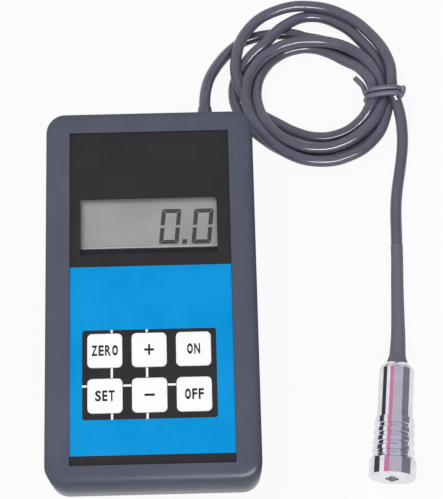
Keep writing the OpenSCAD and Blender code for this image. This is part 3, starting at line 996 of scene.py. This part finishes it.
@dataclass(frozen=True)
class StudioFloor(Finish):
    """White sweep that keeps a faint shadow."""

    glow: float = 0.93
    mirrored: float = 0.85
    cloud: Grains = (4, 2)

    def make(self, sheet: Sheet) -> None:
        """Builds a pale floor that seen rays lift towards pure white.

        Args:
            sheet: Material that gets the nodes.
        """
        shown = sheet.tint(sheet.noise(*self.cloud), Ink.FLOOR_PALE.linear(), Ink.FLOOR_SHADE.linear())
        sheet.put(Base_Color=shown, Roughness=0.9, Specular_IOR_Level=0.1)
        path = sheet.add("ShaderNodeLightPath").outputs
        seen = sheet.math("MAXIMUM", path["Is Camera Ray"], path["Is Transmission Ray"])
        mirror = sheet.math("MULTIPLY", path["Is Glossy Ray"], self.mirrored)
        lift = sheet.math("MAXIMUM", sheet.math("MULTIPLY", seen, self.glow), mirror)
        white = sheet.add("ShaderNodeEmission", {"Strength": 1.0}).outputs["Emission"]
        sheet.show(sheet.blend(lift, sheet.shader.outputs["BSDF"], white))


@dataclass(frozen=True)
class StudioFlag(Finish):
    """Evenly lit card that bright metal reflects."""

    ink: Ink = Ink.FLAG_GREY
    cloud: Grains = (3, 3)
    cloud_strength: float = 1.1

    def make(self, sheet: Sheet) -> None:
        """Builds a lit card with a faint cloud.

        Args:
            sheet: Material that gets the nodes.
        """
        pale = self.ink.linear(self.cloud_strength)
        shown = sheet.tint(sheet.noise(*self.cloud), self.ink.linear(), pale)
        sheet.show(sheet.add("ShaderNodeEmission", {"Color": shown}).outputs["Emission"])


CASE = MouldedPlastic("case_plastic_finish", crown=0.0072)
KEYS = MouldedPlastic("key_plastic_finish", Ink.KEY_WHITE, Ink.KEY_WHITE, 0.4, 3600, 0.12, 0.05)
BLACK = MouldedPlastic("black_plastic_finish", Ink.PLASTIC_BLACK, Ink.RUBBER_BLACK, 0.45, 3000, 0.2, 0.2)
NYLON = MouldedPlastic("nylon_finish", Ink.NYLON_IVORY, Ink.KEY_WHITE, 0.45, 2200, 0.15, 0.15)
RUBBER = CableJacket("rubber_finish", Ink.RUBBER_BLACK, Ink.PLASTIC_BLACK, 0.6, 2400)
JACKET = CableJacket("cable_jacket_finish")
SLEEVE = CableJacket("shrink_sleeve_finish", Ink.SLEEVE_GREY, Ink.CABLE_GREY, 0.5, 1400)
TIE = CableJacket("tie_plastic_finish", Ink.TIE_GREY, Ink.CABLE_GREY, 0.38, 2600)
WIRE = CableJacket("wire_insulation_finish", Ink.WIRE_RED, Ink.WIRE_RED, 0.35, 2600)
FILM = PrintedFilm("overlay_film_finish")
FIELD = PrintedFilm("blue_field_finish", Ink.FIELD_BLUE, 0.45, 0.03)
LINES = PrintedFilm("white_line_finish", Ink.LINE_WHITE, 0.5, 0.2)
LEGEND = PrintedFilm("legend_ink_finish", Ink.LEGEND_BLACK, 0.5, 0.1)
SEGMENT = PrintedFilm("segment_finish", Ink.SEGMENT_GREY, 0.45, 0.1)
WINDOW = ClearWindow("window_finish")
DISPLAY = DisplayGlass("display_finish")
CHROME = ProbeMetal("chrome_finish")
IRON = ProbeMetal("core_iron_finish", Ink.IRON, 0.25, 2200, 0.1)
STEEL = PlainMetal("screw_steel_finish")
BOARD = CircuitBoard("board_finish")
CAN = BatteryCan("battery_can_finish")
WINDING = WoundWire("winding_finish")


# Putting pieces on the frame


def dress(obj: Thing, finish: Finish) -> None:
    """Gives an object one finish all over.

    Args:
        obj: Piece or CAD node.
        finish: Its finish.
    """
    material = finish.material()
    if obj.material_slots:
        for holder in obj.material_slots:
            holder.material = material
    else:
        obj.data.materials.append(material)


def dress_nodes(finish: Finish, *names: str) -> None:
    """Dresses CAD nodes that keep their own shape.

    Args:
        finish: Finish of all of them.
        *names: Names of the nodes.
    """
    for name in names:
        dress(frame["nodes"][name], finish)
        log.info("node %s wears %s", name, finish.name)


def fit_on(obj: Thing, body: str, finish: Finish, slot: str, *stands_for: str) -> Thing:
    """Dresses a new piece and puts it on a body.

    Args:
        obj: Finished piece.
        body: CAD body that it moves with.
        finish: Its finish.
        slot: Material slot of the record; not used.
        *stands_for: CAD nodes that it replaces.

    Returns:
        The same piece.
    """
    dress(obj, finish)
    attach(obj, body)
    if stands_for:
        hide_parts(*stands_for)
    log.info("piece %s rides on %s", obj.name, body)
    return obj


# Studio


@dataclass(frozen=True)
class Lamp:
    """A soft lamp that is either mirrored or gives plain light."""

    name: str
    place: Point
    aim: Point
    sides: Pair
    power: float
    mirrored: bool


@dataclass(frozen=True)
class Card:
    """A card that only mirror-like surfaces find, with its sides before it is turned."""

    name: str
    middle: Point
    sides: Pair
    turn: Point
    ink: Ink


@dataclass
class Studio:
    """Camera, floor, lights and background. The camera is fitted to the photograph."""

    azimuth: float = math.radians(-0.718)
    elevation: float = math.radians(72.425)
    roll: float = math.radians(-0.683)
    distance: float = 0.60363
    target: Point = (0.023639, 0.021825, 0.0)
    focal_pixels: float = 1739.9
    image_height: int = 499
    sensor: float = 36.0
    nearest: float = 0.01
    ambient: float = 0.5
    room_tint: Colour = (0.96, 0.97, 1.0, 1.0)
    white: Colour = (1.0, 1.0, 1.0, 1.0)
    floor_side: float = 6.0
    floor_z: float = -0.00005
    unused: tuple[str, ...] = ("Cube", "Light", "Camera")
    lamps: tuple[Lamp, ...] = (
        Lamp("soft_key", (-0.32, 0.26, 0.72), (0.02, 0.03, 0.0), (0.5, 0.5), 3.1, mirrored=False),
        Lamp("front_fill", (0.16, -0.55, 0.36), (0.03, 0.03, 0.0), (0.26, 0.05), 1.4, mirrored=False),
        Lamp("front_strip", (0.21, -0.33, 0.53), (0.03, 0.03, 0.0), (0.44, 0.13), 4.8, mirrored=True))
    cards: tuple[Card, ...] = (
        Card("flag_rose", (-0.165, 0.0, 0.35), (0.23, 0.8), FLAT, Ink.FLAG_ROSE),
        Card("flag_above", (0.25, 0.1, 0.8), (1.0, 1.2), FLAT, Ink.FLAG_PALE),
        Card("flag_right", (0.75, 0.1, 0.4), (0.8, 1.2), SIDEWAYS, Ink.FLAG_GREY),
        Card("flag_behind", (0.1, 1.1, 0.48), (1.0, 0.36), UPRIGHT, Ink.FLAG_GREY))

    def clear_defaults(self) -> None:
        """Removes what a new Blender file holds beside the frame."""
        kept = set(frame["nodes"].values()) | set(frame["bodies"].values())
        for obj in list(bpy.data.objects):
            if obj.name in self.unused and obj not in kept:
                discard(obj)

    def basis(self) -> Matrix:
        """Works out the camera's turn.

        Returns:
            Its right, its up and its back as columns.
        """
        level = math.cos(self.elevation)
        x, y = math.sin(self.azimuth) * level, -math.cos(self.azimuth) * level
        back = Vector((x, y, math.sin(self.elevation)))
        right = Vector((math.cos(self.azimuth), math.sin(self.azimuth), 0))
        up = back.cross(right)
        turned = math.cos(self.roll) * right + math.sin(self.roll) * up
        raised = math.cos(self.roll) * up - math.sin(self.roll) * right
        return Matrix((turned, raised, back)).transposed()

    def add_camera(self) -> None:
        """Adds the camera at the photograph's place."""
        turn = self.basis()
        place = Vector(self.target) + turn.col[2] * self.distance
        camera = added("photo_camera", bpy.ops.object.camera_add, location=place, rotation=turn.to_euler())
        camera.data.sensor_width = self.sensor
        camera.data.lens = self.sensor * self.focal_pixels / self.image_height
        camera.data.clip_start = self.nearest
        bpy.context.scene.camera = camera

    def add_lamp(self, plan: Lamp) -> None:
        """Hangs one lamp.

        Args:
            plan: Its place, size and power.
        """
        towards = Vector(plan.aim) - Vector(plan.place)
        turn = towards.to_track_quat("-Z", "Y").to_euler()
        lamp = added(plan.name, bpy.ops.object.light_add, type="AREA", location=plan.place, rotation=turn)
        lamp.data.shape = "RECTANGLE"
        lamp.data.size, lamp.data.size_y = plan.sides
        lamp.data.energy = plan.power
        lamp.visible_glossy = plan.mirrored
        lamp.visible_diffuse = not plan.mirrored

    def add_card(self, plan: Card) -> None:
        """Puts up one card.

        Args:
            plan: Its place, size and colour.
        """
        card = added(plan.name, bpy.ops.mesh.primitive_plane_add, size=1, location=plan.middle,
                     rotation=plan.turn)
        card.scale = (*plan.sides, 1)
        settle(card)
        dress(card, StudioFlag(f"{plan.name}_finish", plan.ink))
        card.visible_camera = False
        card.visible_diffuse = False
        card.visible_transmission = False
        card.visible_shadow = False

    def add_world(self) -> None:
        """Makes even room light, which seen rays find pure white."""
        world = bpy.data.worlds.new("studio_world")
        world.use_nodes = True
        nodes = NodeTree(world.node_tree, "ShaderNodeOutputWorld")
        path = nodes.add("ShaderNodeLightPath").outputs
        seen = nodes.math("MAXIMUM", path["Is Camera Ray"], path["Is Glossy Ray"])
        seen = nodes.math("MAXIMUM", seen, path["Is Transmission Ray"])
        room = nodes.add("ShaderNodeBackground", {"Color": self.room_tint, "Strength": self.ambient})
        white = nodes.add("ShaderNodeBackground", {"Color": self.white, "Strength": 1.0})
        nodes.show(nodes.blend(seen, room.outputs["Background"], white.outputs["Background"]))
        bpy.context.scene.world = world

    def add_floor(self) -> None:
        """Adds the pale floor under the gauge."""
        half = self.floor_side / 2
        floor = plate("studio_floor", (-half, -half), (half, half), self.floor_z)
        dress(floor, StudioFloor("studio_floor_finish"))

    def build(self) -> None:
        """Sets up the whole studio."""
        self.add_camera()
        for lamp in self.lamps:
            self.add_lamp(lamp)
        for card in self.cards:
            self.add_card(card)
        self.add_world()
        self.add_floor()
        bpy.context.scene.view_settings.view_transform = "Standard"
        log.info("studio is set")


# Probe cable


def around(items: Sequence, i: int) -> list:
    """Lists the item before a place, the one at it and the two after it, held at the ends."""
    return [items[min(max(i + step, 0), len(items) - 1)] for step in (-1, 0, 1, 2)]


def halfway(before: float | Vector, here: float | Vector, ahead: float | Vector,
            after: float | Vector) -> float | Vector:
    """Gives the value halfway from here to ahead on a smooth line through four values."""
    return (9 * (here + ahead) - before - after) / 16


@dataclass(frozen=True)
class Station:
    """One place of the cable in its coil, about the coil's middle, with its bearing in degrees."""

    bearing: float
    radius: float
    height: float


@dataclass
class TwistTie:
    """The tie: wraps of coated wire round the bundle, with a stub and a bent-over end."""

    wire: float = 0.00095
    pitch: float = 0.0021
    lean: float = 0.001
    wraps: float = 1.5
    steps: int = 24
    corner: float = 0.0036
    squareness: float = 1.6
    left: float = 0.0760
    right: float = 0.0880
    floor_gap: float = 0.00015
    high: float = 0.0099
    first_y: float = 0.0774
    stub: tuple[Point, ...] = (
        (0.0725, 0.0829, 0.0048), (0.0738, 0.0812, 0.0053), (0.0751, 0.0794, 0.0055))
    bent_end: tuple[Point, ...] = (
        (0.0886, 0.0760, 0.0069), (0.0887, 0.0769, 0.0081), (0.0885, 0.0777, 0.0087))
    swell: tuple[float, ...] = (1.1, 1.3, 1.25)

    def wrap_points(self) -> list[Vector]:
        """Lists the points of the wraps: a rounded oblong that steps along the bundle.

        Returns:
            The points in order.
        """
        low = self.wire + self.floor_gap
        centre = Vector(((self.left + self.right) / 2, self.first_y, (low + self.high) / 2))
        half_x = (self.right - self.left) / 2 - self.corner
        half_z = (self.high - low) / 2 - self.corner
        points = []
        for i in range(int(self.wraps * self.steps) + 1):
            angle = math.pi - 2 * math.pi * i / self.steps
            c, s = math.cos(angle), math.sin(angle)
            side, rise = (max(-1, min(1, self.squareness * part)) for part in (c, s))
            reach = Vector((half_x * side, self.lean * c - self.pitch * i / self.steps, half_z * rise))
            points.append(centre + reach + self.corner * Vector((c, 0, s)))
        return points

    def build(self) -> Thing:
        """Bends the wire and puts it on.

        Returns:
            The tie.
        """
        points = [Vector(p) for p in self.stub] + self.wrap_points()
        taper = [self.wire] * len(points) + [self.wire * part for part in self.swell]
        points += [Vector(p) for p in self.bent_end]
        tie = wire_mesh(round_wire("tie_wire", points, self.wire, taper))
        return fit_on(tie, "case", TIE, "tie_plastic", "cable_tie")


@dataclass
class ProbeCable:
    """The cable from the case to the probe, its tie and its shrink sleeve."""

    diameter: float = 0.004
    clear: float = 0.00006
    rise_share: float = 0.1
    exit: Point = (0.019, 0.0705, 0.011)
    middle: Pair = (0.058, 0.080)
    lead_route: tuple[Point, ...] = (
        (0.019, 0.058, 0.011), (0.019, 0.0635, 0.011), (0.019, 0.0705, 0.011), (0.0192, 0.075, 0.0104),
        (0.0198, 0.079, 0.0089), (0.0209, 0.083, 0.0073), (0.0227, 0.087, 0.0057), (0.0252, 0.0912, 0.0041),
        (0.0282, 0.095, 0.0029), (0.0315, 0.098, 0.0022), (0.035, 0.1, 0.002))
    tail_route: tuple[Point, ...] = (
        (0.0866, 0.0734, 0.0056), (0.0878, 0.0684, 0.0044), (0.0883, 0.0634, 0.0032), (0.0882, 0.058, 0.0024),
        (0.0875, 0.0526, 0.002), (0.0865, 0.047, 0.002), (0.0855, 0.0415, 0.002), (0.0848, 0.036, 0.002),
        (0.0845, 0.031, 0.002), (0.0844, 0.0268, 0.0021), (0.0842, 0.021, 0.0024))
    sleeve_route: tuple[Point, ...] = (
        (0.0842, 0.021, 0.0024), (0.084, 0.0152, 0.0027), (0.0836, 0.008, 0.0031), (0.0833, 0.001, 0.0035),
        (0.083, -0.006, 0.004), (0.0826, -0.013, 0.0047), (0.0820, -0.0189, 0.0056),
        (0.0817, -0.0219, 0.0058))
    sleeve_radii: tuple[float, ...] = (0.0021, 0.0021, 0.00215, 0.0022, 0.0023, 0.00248, 0.00275, 0.0037)
    cable_in_sleeve: int = 6
    tie_bearing: float = -7.2
    first_pass: tuple[Station, ...] = (
        Station(118, 0.0248, 0.002), Station(96, 0.0203, 0.002), Station(70, 0.0190, 0.002),
        Station(45, 0.0190, 0.002), Station(19, 0.0205, 0.0024))
    bearings: tuple[float, ...] = (-45, -90, -135, -180, -225, -270, -315)
    radii: tuple[tuple[float, ...], ...] = (
        (0.0258, 0.0256, 0.0260, 0.0286, 0.0237, 0.0282, 0.0250),
        (0.0286, 0.0284, 0.0260, 0.0242, 0.0197, 0.0170, 0.0190),
        (0.0240, 0.0237, 0.0225, 0.0205, 0.0182, 0.0160, 0.0153),
        (0.0203, 0.0183, 0.0184, 0.0265, 0.0318, 0.0310, 0.0288))
    heights: tuple[tuple[float, ...], ...] = (
        (0.0021, 0.0020, 0.0020, 0.0020, 0.0062, 0.0026, 0.0030),
        (0.0046, 0.0054, 0.0061, 0.0064, 0.0062, 0.0062, 0.0060),
        (0.0056, 0.0054, 0.0060, 0.0044, 0.0022, 0.0022, 0.0030),
        (0.0036, 0.0020, 0.0020, 0.0050, 0.0062, 0.0052, 0.0046))
    tie_radii: tuple[float, ...] = (0.0217, 0.0260, 0.0240, 0.0206, 0.0277)
    tie_heights: tuple[float, ...] = (0.0033, 0.0033, 0.0056, 0.0070, 0.0071)

    def stations(self) -> list[Station]:
        """Lists the coil's stations in the order in which the cable passes them.

        Returns:
            The first pass, then each place in the tie with the turn that follows it.
        """
        found = list(self.first_pass)
        for turn, (radius, height) in enumerate(zip(self.tie_radii, self.tie_heights)):
            passed = [(self.tie_bearing, radius, height)]
            if turn < len(self.radii):
                passed += zip(self.bearings, self.radii[turn], self.heights[turn])
            found += [Station(-360 * turn + bearing, *rest) for bearing, *rest in passed]
        return found

    def at(self, place: Station) -> Vector:
        """Works out where a station is.

        Args:
            place: Station of the coil.

        Returns:
            Its point.
        """
        angle = math.radians(place.bearing)
        x = self.middle[0] + place.radius * math.cos(angle)
        y = self.middle[1] + place.radius * math.sin(angle)
        return Vector((x, y, place.height))

    def coil_points(self) -> list[Vector]:
        """Lists the coil's points.

        Returns:
            Each station's point and one between it and the next.
        """
        places = self.stations()
        points = []
        for i, here in enumerate(places[:-1]):
            near = around(places, i)
            bearing = (here.bearing + places[i + 1].bearing) / 2
            radius = halfway(*(place.radius for place in near))
            height = halfway(*(place.height for place in near))
            points += [self.at(here), self.at(Station(bearing, radius, max(height, self.diameter / 2)))]
        return points + [self.at(places[-1])]

    def rested(self, points: Sequence[Vector]) -> list[Vector]:
        """Lifts points beside a rise a little, so that the smooth line doesn't dip into the floor.

        Args:
            points: Points of the route.

        Returns:
            The same route, clear of the floor.
        """
        low = self.diameter / 2 + self.clear
        lifted = [point.copy() for point in points]
        for i in range(1, len(points) - 1):
            rise = max(points[i - 1].z, points[i + 1].z) - points[i].z
            lifted[i].z = max(points[i].z, low + self.rise_share * max(rise, 0))
        return lifted

    def length(self, points: Sequence[Vector]) -> float:
        """Measures a smooth line through points.

        Args:
            points: Points of the line.

        Returns:
            Its length, in two steps from each point to the next.
        """
        total = 0.0
        for i in range(len(points) - 1):
            middle = halfway(*around(points, i))
            total += (middle - points[i]).length + (points[i + 1] - middle).length
        return total

    def add_cable(self) -> tuple[Thing, float]:
        """Makes the cable from the grommet through its coil into the sleeve.

        Returns:
            The cable and its length.
        """
        points = [Vector(p) for p in self.lead_route] + self.coil_points()
        points += [Vector(p) for p in self.tail_route + self.sleeve_route[1:self.cable_in_sleeve]]
        points = self.rested(points)
        cable = round_wire("probe_cable", points, self.diameter / 2)
        fit_on(cable, "case", JACKET, "cable_jacket", "cable_lead", "cable_coil", "cable_tail")
        return cable, self.length(points)

    def add_sleeve(self) -> Thing:
        """Makes the shrink sleeve that flares onto the probe.

        Returns:
            The sleeve.
        """
        points = [Vector(p) for p in self.sleeve_route]
        sleeve = wire_mesh(round_wire("shrink_sleeve", points, max(self.sleeve_radii), self.sleeve_radii))
        return fit_on(sleeve, "case", SLEEVE, "shrink_sleeve", "cable_boot")

    def build(self) -> None:
        cable, length = self.add_cable()
        sleeve = self.add_sleeve()
        tie = TwistTie().build()
        dress_nodes(JACKET, "cable_grommet")
        on_it = [sleeve, tie, bpy.data.objects["probe_shoulder"]]
        on_it += [frame["nodes"][name] for name in ("cable_grommet", "probe_barrel", "probe_sleeve")]
        log.info("cable is %.3f m long", length)


# Case


@dataclass
class CaseShells:
    """The two moulded shells, the battery door and the case screws."""

    screw_places: tuple[Pair, ...] = ((-0.0275, -0.056), (0.0275, -0.056), (-0.0275, 0.056), (0.0275, 0.056))
    head_z: float = 0.0032
    screw: HeadedPin = HeadedPin(sides=40, head_r=0.0026, head_h=0.0018, rim=0.0008, rim_steps=5,
                                 rim_profile=0.5, stem_r=0.0014, stem_h=0.015, point_h=0.0006)
    recess_w: float = 0.0007
    recess_l: float = 0.0029
    recess_depth: float = 0.0011

    def add_screw(self) -> Thing:
        """Models one pan-head screw with a cross recess.

        Returns:
            The screw, at the first of its places.
        """
        place = (*self.screw_places[0], self.head_z)
        screw = self.screw.build("case_screw")
        screw.location = place
        settle(screw)
        for turn in (0, math.pi / 2):
            blade = added("recess_blade", bpy.ops.mesh.primitive_cube_add, size=1, location=place,
                          rotation=(0, 0, turn))
            blade.scale = (self.recess_l, self.recess_w, 2 * self.recess_depth)
            settle(blade)
            cut(screw, blade)
        soften(screw, TURNED_CREASE)
        return screw

    def build(self) -> None:
        """Dresses the shells and adds the screws."""
        dress_nodes(CASE, "front_shell", "rear_shell", "battery_door")
        first = self.add_screw()
        x, y = self.screw_places[0]
        screws = [first]
        for i, (other_x, other_y) in enumerate(self.screw_places[1:]):
            screws.append(copy_of(first, f"case_screw_{i + 2}", (other_x - x, other_y - y, 0)))
        whole = merged("case_screw_set", screws)
        fit_on(whole, "case", STEEL, "screw_steel", "case_screws")


# Front panel


@dataclass
class FrontPanel:
    """Prints on the panel overlay."""

    top: float = 0.0274
    half_width: float = 0.0266
    blue_low: float = -0.0548
    blue_high: float = 0.0081
    pad_low: Pair = (-0.0225, -0.0432)
    pad_high: Pair = (0.0211, -0.0135)
    pad_round: float = 0.0009
    pad_lap: float = 0.0007
    key_hole: float = 0.0117
    key_hole_round: float = 0.00175
    cut_depth: float = 0.001
    line_width: float = 0.0007
    line_columns: tuple[float, ...] = (-0.0129, -0.0015)
    line_row: float = -0.0321

    def add_blue_field(self) -> None:
        """Makes the blue field, open where the key pad is printed."""
        low, high = (-self.half_width, self.blue_low), (self.half_width, self.blue_high)
        blue = plate("blue_field", low, high, self.top)
        inner_low = [value + self.pad_lap for value in self.pad_low]
        inner_high = [value - self.pad_lap for value in self.pad_high]
        with editing(blue, Pick.FACES):
            for i, across in enumerate((Vector((1, 0, 0)), Vector((0, 1, 0)))):
                for corner in (inner_low, inner_high):
                    bpy.ops.mesh.select_all(action="SELECT")
                    bpy.ops.mesh.bisect(plane_co=corner[i] * across, plane_no=across)
            choose(blue, Pick.FACES, lambda middle, normal: (
                inner_low[0] < middle.x < inner_high[0] and inner_low[1] < middle.y < inner_high[1]))
            bpy.ops.mesh.delete(type="FACE")
        thicken(blue, INK_DEPTH)
        fit_on(blue, "case", FIELD, "overlay_film")

    def add_pad(self) -> None:
        """Makes the black pad round the keys."""
        pad = plate("key_pad", self.pad_low, self.pad_high, self.top + INK_DEPTH)
        round_corners(pad, self.pad_round)
        thicken(pad, INK_DEPTH)
        half = self.key_hole / 2
        for x in KEY_COLUMNS:
            for y in KEY_ROWS:
                low, high = (x - half, y - half), (x + half, y + half)
                hole = plate("key_hole", low, high, self.top - self.cut_depth)
                round_corners(hole, self.key_hole_round)
                thicken(hole, 2 * self.cut_depth)
                cut(pad, hole)
        fit_on(pad, "case", FILM, "overlay_film")

    def add_lines(self) -> None:
        """Makes the white lines between the keys."""
        z = self.top + 2 * INK_DEPTH
        half_key, half_line = self.key_hole / 2, self.line_width / 2
        upper, lower = KEY_ROWS
        left, mid, right = KEY_COLUMNS
        strips = []
        for x in self.line_columns:
            for y0, y1 in ((upper + half_key, self.pad_high[1]), (lower + half_key, upper - half_key),
                           (self.pad_low[1], lower - half_key)):
                strips.append(plate("pad_line", (x - half_line, y0), (x + half_line, y1), z))
        y0, y1 = self.line_row - half_line, self.line_row + half_line
        for x0, x1 in ((self.pad_low[0], left - half_key), (left + half_key, mid - half_key),
                       (mid + half_key, right - half_key)):
            strips.append(plate("pad_line", (x0, y0), (x1, y1), z))
        lines = merged("pad_lines", strips)
        thicken(lines, INK_DEPTH)
        fit_on(lines, "case", LINES, "overlay_film")

    def build(self) -> None:
        """Dresses the overlay and adds its prints."""
        dress_nodes(FILM, "panel_overlay")
        self.add_blue_field()
        self.add_pad()
        self.add_lines()


# Display


@dataclass
class Display:
    """Window, glass and the reading on it."""

    face: float = 0.0253
    digit_low: tuple[Pair, ...] = ((0.0028, 0.0162), (0.0136, 0.0161))
    digit_w: float = 0.0065
    digit_h: float = 0.0122
    bar: float = 0.0014
    gap: float = 0.00014
    waist: float = 0.0009
    corner: float = 0.0005
    slant: float = 0.1
    dot: Pair = (0.0105, 0.0161)
    dot_side: float = 0.0016

    def add_bar(self, low: Pair, high: Pair, trims: Sequence[tuple[Point, Point]]) -> Thing:
        """Makes one segment: a flat bar that is cut off at slants.

        Args:
            low: Its lower left corner.
            high: Its upper right corner.
            trims: Places and directions of the cuts; what lies ahead of each is cut off.

        Returns:
            The segment.
        """
        bar = plate("segment", low, high, self.face)
        with editing(bar, Pick.FACES):
            for place, direction in trims:
                bpy.ops.mesh.select_all(action="SELECT")
                bpy.ops.mesh.bisect(plane_co=place, plane_no=direction, clear_outer=True)
        return bar

    def add_nought(self) -> Thing:
        """Models the digit 0 from six segments.

        Returns:
            The digit, upright, with its lower left corner at the origin.
        """
        w, h, b, g = self.digit_w, self.digit_h, self.bar, self.gap
        reach = g / math.sqrt(2)
        parts = []
        for y0, y1, end, up in ((0, b, 0, -1), (h - b, h, h, 1)):
            trims = [((reach, end, 0), (-1, -up, 0)), ((w - reach, end, 0), (1, -up, 0)),
                     ((self.corner, end, 0), (-1, up, 0)), ((w - self.corner, end, 0), (1, up, 0))]
            parts.append(self.add_bar((0, y0), (w, y1), trims))
        low, high = (h - self.waist) / 2, (h + self.waist) / 2
        for x0, outer, side in ((0, 0, -1), (w - b, w, 1)):
            for y0, y1, end, up in ((0, low, 0, -1), (high, h, h, 1)):
                trims = [((outer, end - up * g, 0), (-side, up, 0)),
                         ((outer, end - up * self.corner, 0), (side, up, 0))]
                parts.append(self.add_bar((x0, y0), (x0 + b, y1), trims))
        return merged("nought", parts)

    def build(self) -> None:
        """Dresses the display's nodes and adds the reading."""
        dress_nodes(WINDOW, "display_window")
        dress_nodes(DISPLAY, "lcd_glass")
        dress_nodes(BLACK, "lcd_frame")
        first = self.add_nought()
        second = copy_of(first, "nought_2", (*self.digit_low[1], 0))
        first.location = (*self.digit_low[0], 0)
        settle(first)
        far_corner = (self.dot[0] + self.dot_side, self.dot[1] + self.dot_side)
        reading = merged("reading", [first, second, plate("point", self.dot, far_corner, self.face)])
        base = self.digit_low[0][1]
        slope = Matrix(((1, self.slant, 0, -self.slant * base), (0, 1, 0, 0), (0, 0, 1, 0), (0, 0, 0, 1)))
        reading.data.transform(slope)
        thicken(reading, INK_DEPTH)
        fit_on(reading, "case", SEGMENT, "display_glass")


# Keys


@dataclass(frozen=True)
class Legend:
    """What is printed on one key: condensed capitals, or a sign of its own size."""

    body: str
    words: str
    column: int
    row: int
    sign: Pair | None = None


@dataclass
class Keys:
    """Six key caps with their legends, and the switches under them."""

    top: float = 0.0278
    letter_h: float = 0.0035
    letter_w: float = 0.0019
    narrow_w: float = 0.00165
    narrow_letters: str = "EF"
    letter_gap: float = 0.00042
    weight: float = 0.03
    round_weight: float = 0.05
    round_letters: str = "O"
    sign_weight: float = 0.01
    legends: tuple[Legend, ...] = (
        Legend("zero", "ZERO", 0, 0), Legend("plus", "+", 1, 0, (0.0031, 0.0036)), Legend("on", "ON", 2, 0),
        Legend("set", "SET", 0, 1), Legend("minus", "-", 1, 1, (0.0033, 0.00075)), Legend("off", "OFF", 2, 1))

    def add_sign(self, mark: Legend) -> Thing:
        """Prints a single sign in the middle of its key."""
        middle = (KEY_COLUMNS[mark.column], KEY_ROWS[mark.row], self.top)
        return lettering(f"legend_{mark.body}", mark.words, middle, mark.sign, self.sign_weight)

    def add_words(self, mark: Legend) -> Thing:
        """Prints a word letter by letter, each letter as wide as a condensed capital.

        Args:
            mark: The word and its key.

        Returns:
            The word, flat.
        """
        widths = [self.narrow_w if letter in self.narrow_letters else self.letter_w for letter in mark.words]
        x = KEY_COLUMNS[mark.column] - (sum(widths) + self.letter_gap * (len(widths) - 1)) / 2
        letters = []
        for letter, width in zip(mark.words, widths):
            middle = (x + width / 2, KEY_ROWS[mark.row], self.top)
            weight = self.round_weight if letter in self.round_letters else self.weight
            letters.append(lettering("letter", letter, middle, (width, self.letter_h), weight))
            x += width + self.letter_gap
        return merged(f"legend_{mark.body}", letters)

    def build(self) -> None:
        """Dresses the keys and adds the legends."""
        for mark in self.legends:
            dress_nodes(KEYS, f"key_{mark.body}")
            dress_nodes(BLACK, f"plunger_{mark.body}")
            legend = self.add_sign(mark) if mark.sign else self.add_words(mark)
            thicken(legend, INK_DEPTH)
            fit_on(legend, mark.body, LEGEND, "key_white")
        dress_nodes(BLACK, "switch_bodies")


# Inner pieces and the probe


@dataclass
class Inside:
    """Board, battery and wiring inside the case."""

    def build(self) -> None:
        """Dresses the inner pieces."""
        dress_nodes(RUBBER, "contact_strips")
        dress_nodes(BOARD, "main_board")
        dress_nodes(STEEL, "board_screws")
        dress_nodes(BLACK, "converter_chip", "battery_snap")
        dress_nodes(CAN, "battery")
        dress_nodes(WIRE, "battery_leads")
        dress_nodes(NYLON, "probe_header")
        dress_nodes(JACKET, "probe_leads")


@dataclass
class Probe:
    """The chrome probe and what is inside it. The spring's ends are measured along it from its top."""

    top: Point = (0.0817, -0.0219, 0.00579)
    along: Point = (-0.1009, -0.9931, 0.0602)
    cap: HeadedPin = HeadedPin(sides=64, head_r=0.00555, head_h=0.002, rim=0.0018, rim_steps=10,
                               rim_profile=0.33, stem_r=0.00425, stem_h=0.003)
    spring_start: float = 0.00535
    spring_end: float = 0.0245
    spring_r: float = 0.0033
    spring_wire: float = 0.0003
    spring_turns: int = 8
    turn_steps: int = 12
    travel: float = 0.0008

    def add_cap(self) -> None:
        """Turns the cap that closes the barrel, with a domed shoulder and a plug in the bore."""
        cap = self.cap.build("probe_shoulder")
        cap.location = self.top
        cap.rotation_euler = Vector(self.along).to_track_quat("Z", "Y").to_euler()
        settle(cap)
        soften(cap, TURNED_CREASE)
        fit_on(cap, "case", CHROME, "probe_chrome", "probe_cap")

    def add_spring(self) -> None:
        """Winds the spring behind the core at one fixed length; the real spring shortens as the core moves
        in.
        """
        axis = Vector(self.along).normalized()
        side = axis.cross(Vector((0, 0, 1))).normalized()
        up = side.cross(axis)
        count = self.spring_turns * self.turn_steps
        points = []
        for i in range(count + 1):
            angle = 2 * math.pi * i / self.turn_steps
            reach = self.spring_start + (self.spring_end - self.spring_start) * i / count
            ring = math.cos(angle) * side + math.sin(angle) * up
            points.append(Vector(self.top) + reach * axis + self.spring_r * ring)
        spring = wire_mesh(round_wire("probe_spring_wire", points, self.spring_wire))
        fit_on(spring, "case", STEEL, "screw_steel", "probe_spring")
        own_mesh(spring)

    def build(self) -> None:
        """Dresses the probe's pieces, turns its cap and winds its spring."""
        self.add_cap()
        dress_nodes(CHROME, "probe_barrel", "probe_sleeve")
        dress_nodes(NYLON, "probe_bobbin")
        dress_nodes(WINDING, "probe_winding")
        dress_nodes(IRON, "probe_core")
        self.add_spring()


def main() -> None:
    """Builds the studio and every part of the gauge in order."""
    logging.basicConfig(level=logging.INFO, format="%(name)s: %(message)s")
    studio = Studio()
    studio.clear_defaults()
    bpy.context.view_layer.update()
    studio.build()
    for part in (Probe(), ProbeCable(), CaseShells(), FrontPanel(), Display(), Keys(), Inside()):
        part.build()
        log.info("%s is done", type(part).__name__)


if __name__ == "__main__":
    main()
